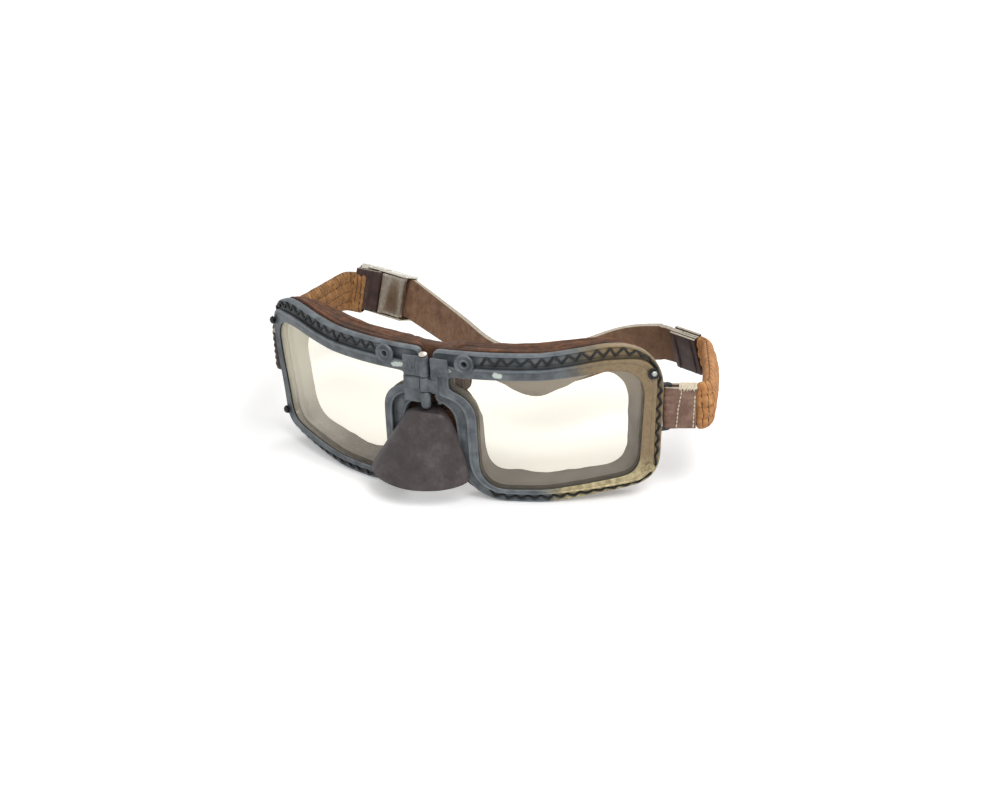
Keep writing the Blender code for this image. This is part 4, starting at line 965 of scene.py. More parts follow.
def lacing(side_name, body, finish):
    """The waxed cord that zigzags between the bezel and the rolled rim, unevenly pulled."""
    side = SIDES[side_name]
    start = 0.245 * FRAME_WIDTH
    inner, outer = grown(BEZEL, 0.8 * MM), grown(OUTER, -0.9 * MM)
    pairs = [(a, b) for a, b in zip(inner, outer) if a.x > start]
    middles = [a.lerp(b, 0.5) for a, b in pairs]
    run = run_along(middles)
    count = round(2 * run[-1] / LACE_PITCH)
    near, flat = 0.6 * MM, 0.34 * MM
    points = []
    for i in range(count + 1):
        uneven = soft_noise((i * 7 * MM, 0, 0), 0.37, side * 2.0)
        at = run[-1] * i / count + 0.9 * MM * uneven
        centre = on_line(middles, run, at)
        ahead = (on_line(middles, run, at + near) - on_line(middles, run, at - near)).normalized()
        across = Vector((-ahead.y, ahead.x))
        pull = 0.66 + 0.55 * soft_noise((i * 5 * MM, 0, 0), 0.41, side * 3.0)
        pull *= 0.70 + 0.30 * eased((centre.y - 6.0 * MM) / (30.0 * MM))
        reach = (on_line([pair[i % 2] for pair in pairs], run, at) - centre).dot(across)
        for shift in (-flat, flat):
            spot = centre + across * reach * min(pull, 1.05) + ahead * shift
            proud = (0.35 if i % 2 else 0.12) * MM
            points.append(on_face(worn_out_of_true(spot.x, spot.y, side), spot.y, proud, side))
    cord = cord_through(catmull(points, 4), LACE_RADIUS, f"zigzag_lace_{side_name}", body, finish,
                        slot="black_cord")
    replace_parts(cord, f"lacing_{side_name}")


# Bridge

def knuckle_spans():
    """The foot and top of each of the hinge's knuckles, from the lowest up."""
    spans, foot = [], 0.5824 * FRAME_HEIGHT
    for share in (0.1088, 0.0896, 0.1264):
        spans.append((foot, foot + share * FRAME_HEIGHT))
        foot = spans[-1][1] + GAP
    return spans


KNUCKLES = knuckle_spans()
PIN_PLACE = Vector((0.0, -PIN_PROUD, 0.0))
KNUCKLE = 1.85 * MM
LEAF_BACK = BEZEL_FRONT + GAP


def paint_new(bm, old_faces, material):
    """Give the faces that weren't there before one of the piece's finishes."""
    for face in bm.faces:
        if face not in old_faces:
            face.material_index = material


def turned(bm, profile, matrix, steps=48, material=0):
    """A profile of (radius, height) turned about Z and set in a place."""
    before, old_faces = set(bm.verts), set(bm.faces)
    verts, edges = draw_row(bm, [(r, 0.0, z) for r, z in profile], closed=False)
    bmesh.ops.spin(bm, geom=verts + edges, axis=(0, 0, 1), cent=(0, 0, 0), angle=math.tau,
                   steps=steps, use_merge=True)
    fresh = [vert for vert in bm.verts if vert not in before]
    bmesh.ops.remove_doubles(bm, verts=fresh, dist=0.001 * MM)
    fresh = [vert for vert in bm.verts if vert not in before]
    bmesh.ops.transform(bm, matrix=matrix, verts=fresh)
    paint_new(bm, old_faces, material)


def slab(bm, low, high, round_off, matrix=Matrix()):
    """A block between two corners with rounded edges, set in a place."""
    before = set(bm.verts)
    made = bmesh.ops.create_cube(bm, size=1.0)["verts"]
    low, high = Vector(low), Vector(high)
    bmesh.ops.transform(bm, verts=made, matrix=Matrix.Translation((low + high) / 2)
                        @ Matrix.Diagonal((*(high - low), 1.0)))
    edges = list({edge for vert in made for edge in vert.link_edges})
    bmesh.ops.bevel(bm, geom=edges, offset=round_off, segments=3, profile=0.5,
                    affect="EDGES", material=-1)
    fresh = [vert for vert in bm.verts if vert not in before]
    bmesh.ops.transform(bm, matrix=matrix, verts=fresh)
    return fresh


def rod(bm, points, radius, sides=8, taper=False, material=0):
    """A round rod through points, with round ends if it tapers."""
    rows = []
    count = len(points)
    for i, point in enumerate(points):
        ahead = (points[min(i + 1, count - 1)] - points[max(i - 1, 0)]).normalized()
        turn = ahead.to_track_quat("Z", "Y").to_matrix()
        end = min(i, count - 1 - i) / max(1, count - 1) * 8
        r = radius * (min(1.0, 0.35 + 0.65 * end) if taper else 1.0)
        rows.append([point + turn @ Vector((r * math.cos(math.tau * k / sides),
                                            r * math.sin(math.tau * k / sides), 0.0))
                     for k in range(sides)])
    old_faces = set(bm.faces)
    sweep(bm, rows, caps=True)
    paint_new(bm, old_faces, material)


def knuckle(bm, low, high, domed):
    """A knuckle of the hinge, with a domed foot if it is the lowest."""
    edge = 0.3 * MM
    foot = [(0.0, low), (KNUCKLE - edge, low), (KNUCKLE, low + edge)]
    if domed:
        foot = [(0.0, low), (KNUCKLE * 0.55, low + 0.15 * MM), (KNUCKLE * 0.85, low + 0.6 * MM),
                (KNUCKLE, low + 1.5 * MM)]
    turned(bm, foot + [(KNUCKLE, high - edge), (KNUCKLE - edge, high), (0.0, high)],
           Matrix.Translation(PIN_PLACE), steps=36)


# Each leaf: its knuckles, its plates as (along, up, proud, rounding), and the lines of old paint
# that stand on it, all in millimetres
LEAVES = {
    "right": ((0, 2), (
        ((1.6, 8.2), (49.2, 57.2), (0.0, 0.9), 0.3), ((1.2, 8.5), (38.6, 49.0), (0.0, 0.7), 0.3),
        ((1.9, 8.1), (44.2, 48.6), (0.3, 1.15), 0.25),
    ), 0.32, (
        ((3.2, 50.2), (3.6, 53.5), (2.8, 57.0)), ((5.0, 50.4), (4.6, 53.0), (5.6, 56.6)),
        ((7.8, 50.4), (6.8, 51.6), (5.6, 50.2)), ((6.0, 52.4), (7.0, 54.4), (8.0, 54.0)),
    )),
    "left": ((1,), (
        ((2.9, 9.7), (50.2, 57.2), (0.0, 0.9), 0.3), ((2.7, 5.6), (43.0, 51.0), (0.0, 0.8), 0.3),
        ((1.0, 5.4), (43.7, 48.6), (0.25, 1.2), 0.25),
    ), 0.30, (
        ((4.0, 50.6), (5.2, 51.5), (6.8, 51.0), (8.4, 52.2), (9.4, 51.6)),
        ((4.2, 52.6), (5.8, 53.6), (7.6, 53.0), (8.8, 54.4)),
        ((4.0, 56.4), (5.0, 55.2), (6.4, 56.0)),
    )),
}


def hinge_leaf(side_name, body):
    """A leaf of the bridge hinge, bent with the face over the bezel."""
    side = SIDES[side_name]
    knuckles, plates, radius, lines = LEAVES[side_name]
    bm = bmesh.new()
    for number in knuckles:
        knuckle(bm, *KNUCKLES[number], domed=number == 0)
    for along, up, proud, rounding in plates:
        low, high = ((a * MM, b * MM, LEAF_BACK + c * MM) for a, b, c in zip(along, up, proud))
        bend(bm, side, slab(bm, low, high, rounding * MM))
    for line in lines:
        path = [on_face(a, b, LEAF_BACK + 0.85 * MM, side) for a, b in in_mm(line)]
        rod(bm, catmull(path, 5), radius * MM, taper=True)
    made = piece_from(bm, f"hinge_leaf_plates_{side_name}", body, SLATE, slot="painted_brass")
    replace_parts(made, f"hinge_leaf_{side_name}")


def hinge_pin():
    """The hinge's upright pin with its domed head."""
    foot, top = KNUCKLES[0][0] + 1.0 * MM, KNUCKLES[-1][1] + GAP
    head, radius = 1.3 * MM, 0.8 * MM
    dome = ((0.0, 1.0), (0.5, 0.92), (0.85, 0.6), (0.95, 0.25), (0.85, 0.0))
    bm = bmesh.new()
    turned(bm, [(KNUCKLE * r, top + head * z) for r, z in dome]
           + [(radius, top), (radius, foot), (0.0, foot)], Matrix.Translation(PIN_PLACE), steps=32)
    made = piece_from(bm, "hinge_pin_rod", "left_side", NICKEL, slot="nickel")
    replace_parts(made, "hinge_pin")


def eyelet(side_name, body):
    """The hollow eyelet: a rolled outer ring, a groove, and a boss with the hole."""
    place = bezel_place((0.180, 0.898), SIDES[side_name])
    profile = ((1.1, -3.0), (1.1, 0.95), (1.3, 1.15), (1.75, 1.15), (2.05, 0.9), (2.25, 0.62),
               (2.55, 0.62), (2.85, 1.0), (3.1, 1.3), (3.4, 1.35), (3.65, 1.15), (3.7, 0.8),
               (3.7, 0.3), (1.9, 0.3), (1.9, -3.0), (1.1, -3.0))
    bm = bmesh.new()
    turned(bm, in_mm(profile), place)
    made = piece_from(bm, f"bridge_eyelet_rings_{side_name}", body, SLATE, smooth=60,
                      slot="painted_brass")
    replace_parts(made, f"bridge_eyelet_{side_name}")


SCREW_PLACES = {"top": (0.948, 0.806), "bottom": (0.934, 0.200)}
SCREW_KINDS = {("top", "left"): "broken", ("bottom", "left"): "flush"}
SCREW_SHANK = ((0.5, -2.9), (0.0, -2.9))
SCREW_HEADS = {
    "domed": ((0.0, 1.75), (0.75, 1.62), (1.3, 1.25), (1.55, 0.8), (1.3, 0.55), (1.75, 0.4),
              (1.75, 0.25), (0.5, 0.25)),
    "broken": ((0.0, 0.30), (1.5, 0.30), (1.9, 0.62), (2.2, 0.45), (2.2, 0.28), (0.5, 0.2)),
    "flush": ((0.0, 0.50), (0.9, 0.50), (1.05, 0.36), (1.2, 0.50), (1.6, 0.42), (1.8, 0.28),
              (0.5, 0.25)),
}
SCREW_STUB = ((0.0, 1.25), (0.5, 1.25), (1.1, 0.75), (1.2, 0.1), (0.0, 0.1))


def screw(where, side_name, body):
    """Domed screws; on the left frame the top one is broken off and the bottom one lies flush."""
    place = bezel_place(SCREW_PLACES[where], SIDES[side_name])
    kind = SCREW_KINDS.get((where, side_name), "domed")
    finishes = [SLATE_WORN] if kind == "flush" else [SCREW_BLACK]
    bm = bmesh.new()
    turned(bm, in_mm(SCREW_HEADS[kind] + SCREW_SHANK), place, steps=28)
    if kind == "broken":
        askew = Matrix.Translation((0.25 * MM, 0.15 * MM, 0.0)) @ Matrix.Rotation(0.35, 4, "X")
        turned(bm, in_mm(SCREW_STUB), place @ askew, steps=6, material=1)
        finishes = [SCREW_BLACK, CHIPPED_METAL]
    made = piece_from(bm, f"{where}_screw_head_{side_name}", body, finishes, smooth=50,
                      slot="painted_brass")
    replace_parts(made, f"{where}_screw_{side_name}")


# The nose flap's lower and upper edge, as (across, back, up) from the hinge in millimetres
HEM_PLAN = ((-22.4, -6.2, 11.2), (-20.4, -9.0, 9.4), (-16.4, -11.4, 8.4), (-11.5, -13.0, 7.8),
            (-6.0, -14.0, 7.6), (-1.0, -13.8, 7.6), (4.4, -12.2, 7.6), (9.0, -9.6, 7.6),
            (12.6, -6.6, 7.9), (15.0, -3.8, 8.6), (15.6, -1.6, 9.8))
TOP_PLAN = ((-8.2, -1.2, 33.2), (-7.0, -2.7, 34.5), (-3.8, -4.0, 35.1), (0.0, -4.4, 35.2),
            (3.8, -4.0, 35.1), (6.4, -2.9, 34.5), (8.2, -1.0, 32.8))


def nose_flap():
    """The stiff leather hood over the nose: round shouldered at the top, flaring to its hem."""
    stages, around = 30, 56
    hem, _ = evenly(catmull([Vector(point) * MM for point in HEM_PLAN], 8), around + 1)
    top, _ = evenly(catmull([Vector(point) * MM for point in TOP_PLAN], 8), around + 1)
    behind = ((9.8 * MM, 0.40), (5.0 * MM, 0.5), (1.0 * MM, 0.62))
    rows = [[Vector((p.x * squeeze, back, 35.0 * MM)) for p in top] for back, squeeze in behind]
    for i in range(stages + 1):
        share = i / stages
        row = []
        for k, (start, end) in enumerate(zip(top, hem)):
            out = share ** (0.95 - 0.23 * k / around)
            row.append(Vector((start.x + (end.x - start.x) * out, start.y + (end.y - start.y) * out,
                               start.z + (end.z - start.z) * share)))
        rows.append(row)
    bm = bmesh.new()
    sweep(bm, rows, closed=False)
    for vert in bm.verts:
        vert.co.y += 0.12 * MM * soft_noise(vert.co, 0.30, 21.0)
    flap = piece_from(bm, "nose_hood", None, [FLAP_LEATHER, FLAP_EDGE], smooth=60, wall=1.2 * MM,
                      rim=1, bevel=0.15 * MM, slot="dark_leather")
    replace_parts(flap, "nose_flap")
    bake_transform(flap)


def boxy(value, power):
    """A sine or cosine drawn out towards -1 and 1, for a section with full shoulders."""
    return math.copysign(abs(value) ** power, value)


def bridge_roll():
    """The suede that runs on from one pad to the other behind the hinge, overlapped at a crease."""
    rows = []
    stations, around = 26, 28
    front, depth, foot = 4.2 * MM, 4.3 * MM, 41.0 * MM
    for i in range(stations + 1):
        x = (-12.0 + 24.0 * i / stations) * MM
        back = np.interp(abs(x), FACE_RUN, FACE_BACK)
        dip = 0.5 * MM * math.cos(x / MM * 0.25)
        overlap = 0.45 * MM if 8.0 * MM < x < 11.4 * MM else 0.0
        top = 58.7 * MM - dip + overlap
        row = []
        for k in range(around):
            angle = math.tau * k / around
            y = front + depth * (1 - boxy(math.cos(angle), 0.55))
            z = (top + foot) / 2 + (top - foot) / 2 * boxy(math.sin(angle), 0.4)
            spot = Vector((x, back + y, z))
            row.append(spot + Vector((0.0, 0.3, 0.4)) * MM * soft_noise(spot, 0.3, 4.0))
        rows.append(row)
    bm = bmesh.new()
    sweep(bm, rows, caps=True)
    roll = piece_from(bm, "bridge_suede_roll", None, PAD_SUEDE, smooth=80, slot="brown_suede")
    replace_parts(roll, "bridge_suede")
    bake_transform(roll)


# Straps, as in the model's source

STRAP_LEVEL = 35.0 * MM
WIRE = 0.9 * MM
THREAD_RADIUS = 0.21 * MM
BAR_REACH, BAR_HALF = 3.0 * MM, 8.9 * MM
TAB_LEATHER_WALL = 1.2 * MM
TAB_WIDTH = 17.6 * MM
FRONT_TAB_LENGTH = 9.3 * MM
FRONT_TAB_WIDTH = 16.2 * MM
FRONT_TAB_TURNS = {"left": math.radians(18), "right": math.radians(63)}
TONGUE_LENGTH = 5.0 * MM
REAR_TAB_LENGTH = 13.0 * MM
STRAP_POCKET = 4.5 * MM
BUCKLE_TAB_LENGTH = 10.5 * MM
BAND_THICKNESS, BAND_CORNER = 6.2 * MM, 4.5 * MM
BAND_HEIGHTS = {"left": 18.6 * MM, "right": 17.2 * MM}
LOOP_WIDTH, LOOP_DEPTH = 186.0 * MM, 110.0 * MM
BAND_MIDDLES = {"left": (0.490, 0.500), "right": (0.503, 0.575)}
# The strap's way as shares: across, back, level, and how far it leans as the tab and the buckle do
STRAP_ROUTE = (
    (0.306, 0.795, 0.985, 1.15, 0.0), (0.254, 0.735, 0.985, 1.2, 0.0),
    (0.226, 0.640, 0.98, 1.2, 0.0), (0.188, 0.520, 0.965, 1.1, 0.0),
    (0.124, 0.448, 0.94, 0.9, 0.0), (0.043, 0.468, 0.91, 0.6, 0.0),
    (-0.020, 0.538, 0.89, 0.3, 0.0), (-0.083, 0.641, 0.90, 0.0, 0.0),
    (-0.163, 0.744, 0.91, 0.0, 0.2), (-0.236, 0.822, 0.925, 0.0, 0.5),
)
STRAP_WIDTH, STRAP_THICKNESS = 17.0 * MM, 1.8 * MM
TAB_ROOM = WIRE + GAP


def upright_place(point, turn, lean, side):
    """A place: X along the turn, Y up and leaning out, Z out of the loop."""
    along = Vector((side * math.cos(turn), math.sin(turn), 0.0))
    out = Vector((side * math.sin(turn), -math.cos(turn), 0.0))
    up = Vector((0.0, 0.0, math.cos(lean))) + out * math.sin(lean)
    turned_place = Matrix((along, up, along.cross(up))).transposed().to_4x4()
    return Matrix.Translation(point) @ turned_place


def loop_point(shares, level):
    """A point of the head loop, from shares of its width, its depth and the strap's level."""
    return Vector((shares[0] * LOOP_WIDTH, shares[1] * LOOP_DEPTH, level * STRAP_LEVEL))


def front_tab_place(side_name):
    side = SIDES[side_name]
    bar = on_face(FRAME_WIDTH + BAR_REACH, STRAP_LEVEL, -LIP_DEPTH / 2, side)
    return upright_place(bar, FRONT_TAB_TURNS[side_name], 0.0, side)


BUCKLE_BAR = (4.6 * MM, -4.3 * MM)
BUCKLE_PLACE = upright_place(loop_point((-0.376, 0.948), 0.955), math.radians(162),
                             math.radians(18), 1)
REAR_TAB_PLACE = upright_place(loop_point((0.431, 0.728), 0.983), math.radians(156),
                               math.radians(-17), 1)
TAB_BAR_PLACE = (BUCKLE_PLACE @ Matrix.Translation((BUCKLE_BAR[0], 0.0, BUCKLE_BAR[1]))
                 @ Matrix.Rotation(math.radians(30), 4, "Y"))


def strap_loop(side_name, body):
    """The wire staple on the frame's edge, with bent corners."""
    side = SIDES[side_name]
    start, bar, r = FRAME_WIDTH * 0.985, FRAME_WIDTH + BAR_REACH, 1.2 * MM
    corner = ((start, BAR_HALF), (bar - r, BAR_HALF), (bar - 0.3 * r, BAR_HALF - 0.3 * r),
              (bar, BAR_HALF - r))
    route = [(along, -up) for along, up in corner] + list(reversed(corner))
    points = [on_face(along, STRAP_LEVEL + up, -LIP_DEPTH / 2, side) for along, up in route]
    wire = cord_through(points, WIRE, f"strap_loop_wire_{side_name}", body, SLATE_DARK, sides=3,
                        slot="painted_brass")
    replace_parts(wire, f"strap_loop_{side_name}")


def leather_grid(path, place, width, crumple, rows):
    """A strip of leather that follows a path in a place's X and Z and stands along its Y."""
    grid = []
    for j in range(rows + 1):
        level = width * (j / rows - 0.5)
        row = []
        for x, z in path:
            dx, dz = crumple(x, level)
            row.append(place @ Vector((x + dx, level, z + dz)))
        grid.append(row)
    return grid


def even_path(corners):
    """Points at even distances along corner points."""
    spacing = 0.45 * MM
    corners = [Vector((x, 0.0, z)) for x, z in corners]
    run = run_along(corners)
    at = np.linspace(0.0, run[-1], int(run[-1] / spacing) + 2)
    return list(zip(np.interp(at, run, [c.x for c in corners]),
                    np.interp(at, run, [c.z for c in corners])))


def folded_tab(name, body, leather, place, length, width, crumple, rows=14):
    """Leather that is folded in two round a wire, with raw pale edges."""
    radius, steps = TAB_ROOM + TAB_LEATHER_WALL / 2, 12
    turns = [math.pi * i / steps for i in range(steps + 1)]
    path = even_path([(length, radius)] + [(-radius * math.sin(turn), radius * math.cos(turn))
                                           for turn in turns] + [(length, -radius)])
    bm = bmesh.new()
    sweep(bm, leather_grid(path, place, width, crumple, rows), closed=False)
    return piece_from(bm, name, body, [leather, EDGE_LEATHER], smooth=60, wall=TAB_LEATHER_WALL,
                      rim=1, bevel=0.18 * MM, slot="dark_leather")


def stitch_line(bm, place, points, z, length=1.1 * MM, radius=THREAD_RADIUS, material=0):
    """A row of short stitches over a leather face, along points given in the place's X and Y."""
    pitch = 1.65 * MM
    run = running([math.dist(a, b) for a, b in zip(points, points[1:])])
    for i in range(int(run[-1] / pitch)):
        ends = []
        for share, lift in ((0.0, 0.0), (0.5, 0.16 * MM), (1.0, 0.0)):
            x, y = (np.interp(i * pitch + length * share, run, column) for column in zip(*points))
            ends.append(place @ Vector((x, y, z + math.copysign(lift, z))))
        rod(bm, ends, radius, sides=6, material=material)


def front_tab(side_name):
    """The tab folded round the loop's bar, puckered there, and stitched over the band's end.

    Threads are whipped over its top edge as well.
    """
    place, body = front_tab_place(side_name), f"{side_name}_front_tab"
    leather, thread = (TAB_LEATHER, THREAD) if side_name == "left" else (DARK_TAB, DARK_THREAD)

    def crumple(x, level):
        near = max(0.0, 1.0 - x / (4.2 * MM))
        wave = math.sin(level / MM * 2.3 + 1.5 * soft_noise((level, x, 0), 0.4, 2.0))
        rough = soft_noise((x, level, 0), 0.6, 6.0)
        return (-0.35 * MM * near, near * 0.26 * MM * wave + 0.06 * MM * rough)

    tab = folded_tab(f"front_tab_leather_{side_name}", body, leather, place, FRONT_TAB_LENGTH,
                     FRONT_TAB_WIDTH, crumple, 24)
    face, half = TAB_ROOM + TAB_LEATHER_WALL + 0.05 * MM, FRONT_TAB_WIDTH / 2
    bm = bmesh.new()
    for z in (face, -face):
        stitch_line(bm, place, ((2.2 * MM, -half + 0.6 * MM), (2.8 * MM, 0.0),
                                (4.1 * MM, half - 0.8 * MM)), z)
        stitch_line(bm, place, ((8.3 * MM, -half + 0.6 * MM), (8.9 * MM, half - 1.0 * MM)), z)
    whipped = 14
    for i in range(whipped):
        x = (3.0 + 0.46 * i) * MM
        sway = 0.6 * MM * math.sin(i * 2.4)
        reach = (0.7 + 0.6 * math.sin(i * 1.9)) * MM
        lift = (0.40 + 0.25 * math.sin(i * 3.1)) * MM
        loop = [place @ Vector((x + sway, half - reach, face)),
                place @ Vector((x + 0.2 * MM, half, face + 0.1 * MM)),
                place @ Vector((x + 0.3 * MM, half + lift, 0.0)),
                place @ Vector((x + 0.5 * MM, half, -face - 0.1 * MM)),
                place @ Vector((x + 0.7 * MM - sway, half - reach, -face))]
        rod(bm, catmull(loop, 4), THREAD_RADIUS, sides=6, taper=True)
    piece_from(bm, f"front_tab_thread_{side_name}", body, thread, smooth=60)
    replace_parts(tab, f"front_tab_{side_name}")


def rear_tab_left():
    """Plies of dark leather over the strap's end, with raw pale edges and two raised seams."""
    bm = bmesh.new()
    half = TAB_WIDTH / 2
    plies = ((1.25, 2.35, 13.0, 0.0), (0.15, 1.10, 8.2, 0.35), (-1.10, 0.0, 8.4, 0.15),
             (-2.35, -1.25, 13.0, 0.25))
    for near, far, length, short in plies:
        slab(bm, (0.2 * MM, -half, near * MM), (length * MM, half - short * MM, far * MM),
             0.22 * MM, REAR_TAB_PLACE)
    for vert in bm.verts:
        vert.co += Vector((0.10, 0.10, 0.0)) * MM * soft_noise(vert.co, 0.3, 9.0)
    bmesh.ops.recalc_face_normals(bm, faces=bm.faces)
    for face in bm.faces:
        face.material_index = 1 if face.normal.z > 0.75 else 0
    seams, surface, ridge = (2.6 * MM, 10.8 * MM), 2.45 * MM, 0.42 * MM
    for x in seams:
        for z in (surface, -surface):
            line = [REAR_TAB_PLACE @ Vector((x, y * MM, z)) for y in (-8.0, -4.0, 0.0, 4.0, 8.0)]
            rod(bm, line, ridge, taper=True)
            stitch_line(bm, REAR_TAB_PLACE, ((x, -half + 0.5 * MM), (x, half - 0.5 * MM)),
                        z + math.copysign(0.36 * MM, z), material=2, length=0.8 * MM,
                        radius=0.12 * MM)
    tab = piece_from(bm, "rear_tab_plies_left", "left_side", [DARK_TAB, EDGE_LEATHER, DARK_THREAD],
                     smooth=50, slot="dark_leather")
    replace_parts(tab, "rear_tab_left")


def rear_tab_right():
    """The leather folded round the buckle's bar, creased upright."""
    def crumple(x, level):
        fold = math.sin(x / MM * 2.1 + 0.5 * math.sin(level / MM * 0.3))
        return (0.0, 0.16 * MM * fold * min(1.0, x / (2 * MM)))

    tab = folded_tab("rear_tab_leather_right", "right_side", DARK_TAB, TAB_BAR_PLACE,
                     BUCKLE_TAB_LENGTH, TAB_WIDTH, crumple)
    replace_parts(tab, "rear_tab_right")


# Spring bands

def rounded(corners, reach, steps):
    """A line through corners that are cut off and curved."""
    points = [corners[0]]
    for before, corner, after in zip(corners, corners[1:], corners[2:]):
        start = corner + (before - corner).normalized() * min(reach, (before - corner).length / 2)
        end = corner + (after - corner).normalized() * min(reach, (after - corner).length / 2)
        for i in range(steps + 1):
            share = i / steps
            points.append(start.lerp(corner, share).lerp(corner.lerp(end, share), share))
    return points + [corners[-1]]


def station_frames(points, ups, side):
    """At each point: the point, the way up and the way out of the loop."""
    frames = []
    for i, point in enumerate(points):
        along = (points[min(i + 1, len(points) - 1)] - points[max(i - 1, 0)]).normalized()
        up = (ups[i] - along * ups[i].dot(along)).normalized()
        frames.append((point, up, along.cross(up) * side))
    return frames


BAND_STATIONS = 300


def band_frames(side_name):
    """The band's line from inside the front tab to inside the rear one, and its length."""
    side = SIDES[side_name]
    front = front_tab_place(side_name)
    rear = REAR_TAB_PLACE if side_name == "left" else TAB_BAR_PLACE
    mouth, into = (0.0, 1.0) if side_name == "left" else (BUCKLE_TAB_LENGTH, -1.0)
    start = front @ Vector((FRONT_TAB_LENGTH - TONGUE_LENGTH, 0.0, 0.0))
    first = front @ Vector((FRONT_TAB_LENGTH + BAND_CORNER, 0.0, 0.0))
    last = rear @ Vector((mouth - into * BAND_CORNER, 0.0, 0.0))
    end = rear @ Vector((mouth + into * TONGUE_LENGTH, 0.0, 0.0))
    across, back = BAND_MIDDLES[side_name]
    middle = Vector((side * across * LOOP_WIDTH, back * LOOP_DEPTH, (first.z + last.z) / 2))
    points, length = evenly(rounded([start, first, middle, last, end], BAND_CORNER, 12),
                            BAND_STATIONS + 1)
    for _ in range(60):
        points = [points[0]] + smoothed(points) + [points[-1]]
    ups = []
    for i in range(BAND_STATIONS + 1):
        run = length * i / BAND_STATIONS
        share = eased((run - TONGUE_LENGTH) / (length - 2 * TONGUE_LENGTH - BAND_CORNER))
        ups.append(UP.lerp(rear.to_3x3().col[1], share))
    return station_frames(points, ups, side), length


def band_sag(side_name, run, length):
    """How far the band hangs below the model's: the right one sinks towards the buckle."""
    if side_name == "left":
        return 0.0
    return -0.6 * MM - 1.7 * MM * eased(run / length)


def bend_at_tab(made, frames):
    """Bake a piece of the band's place into its mesh."""
    HINGE + frames[24][0]
    HINGE + frames[BAND_STATIONS // 2][0]
    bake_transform(made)


def band_spring(side_name, channel):
    """A close-wound spring in its channel of the band."""
    frames, length = band_frames(side_name)
    level = BAND_HEIGHTS[side_name] / 4 * (channel - 2.5)
    radius, pitch, around = 1.15 * MM, 1.3 * MM, 8
    wire_radius = 0.22 * MM
    turns = (length - 2 * TONGUE_LENGTH) / pitch
    points = []
    for i in range(int(turns * around)):
        run = TONGUE_LENGTH + i / around * pitch
        at = run / length * BAND_STATIONS
        (here, up, normal), (there, _, _) = frames[int(at)], frames[min(int(at) + 1, BAND_STATIONS)]
        angle = math.tau * i / around
        points.append(here.lerp(there, at % 1.0)
                      + up * (level + band_sag(side_name, run, length) + radius * math.cos(angle))
                      + normal * radius * math.sin(angle))
    bm = bmesh.new()
    rod(bm, points, wire_radius, sides=5)
    coil = piece_from(bm, f"coil_{side_name}_{channel}", None, STEEL, smooth=60,
                      slot="spring_steel")
    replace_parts(coil, f"band_spring_{side_name}_{channel}")
    bend_at_tab(coil, frames)


def spring_cover(side_name, face):
    """One suede skin of the band: four quilted channels, each gathered in its own folds.

    It tapers flat into both tabs. On the right a raised collar covers its rear end.
    """
    frames, length = band_frames(side_name)
    away = 1 if face == "outer" else -1
    across = 48
    crest = BAND_THICKNESS / 2 - 0.55 * MM
    flat = 14.2 * MM
    over, collar_depth = (0.6 * MM, 0.0) if side_name == "left" else (6.4 * MM, 2.75 * MM)
    gathers = 3.5 / MM
    rows, crease_shades = [], []
    for i, (point, up, normal) in enumerate(frames):
        run = length * i / BAND_STATIONS
        near = min(run - TONGUE_LENGTH + 0.8 * MM, length - run - TONGUE_LENGTH + over)
        full = eased(near / (2.4 * MM))
        height = flat + (BAND_HEIGHTS[side_name] - flat) * full
        sag = 0.25 * MM * soft_noise((run, 0, 0), 0.25, 14.0) * full
        sag += band_sag(side_name, run, length)
        collar = collar_depth * eased((run - length + TONGUE_LENGTH + 2.6 * MM) / (1.6 * MM))
        row = []
        crease_shades.append([])
        for k in range(across + 1):
            share = k / across
            level = height * (share - 0.5)
            shifted = share + 0.018 * soft_noise((run, share * MM, 0), 0.5, 31.0)
            channel = min(max(int(shifted * 4), 0), 3)
            lobe = abs(math.sin(math.pi * shifted * 4)) ** 0.5
            edge = math.sin(math.pi * share) ** 0.35
            phase = 1.1 * channel + 1.7 * away
            phase += 2.2 * soft_noise((run, level * 0.6, 0), 0.32, 2.0 + channel)
            gather = math.sin(run * gathers + phase)
            crack = max(0.0, gather + 0.5 * soft_noise((run, level, 0), 0.7, 5.0) - 0.25) ** 2
            bump = -1.05 * crack + 0.30 * soft_noise((run, level * 0.7, 0), 0.35, 3.0 + channel)
            offset = 0.12 * MM + (crest * (0.60 + 0.40 * lobe) + bump * lobe * MM) * edge * full
            offset = max(offset, 0.1 * MM, collar * edge ** 0.3)
            row.append(point + up * (level + sag) + normal * (away * offset))
            # Painted shade: the fold mark falls below 0 in the gathers' cracks and between the
            # channels, where the suede is darkened.
            crease_shades[-1].append(0.45 - 3.0 * crack * full - 1.6 * max(0.0, 0.5 - lobe) * full)
        rows.append(row)
    bm = bmesh.new()
    sweep(bm, rows, closed=False, marks=("fold", crease_shades))
    skin = piece_from(bm, f"ruched_cover_{face}_{side_name}", None, BAND_SUEDES[side_name],
                      smooth=80, wall=0.45 * MM, slot="tan_suede")
    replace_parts(skin, f"spring_cover_{face}_{side_name}")
    bend_at_tab(skin, frames)


# Rear strap and buckle

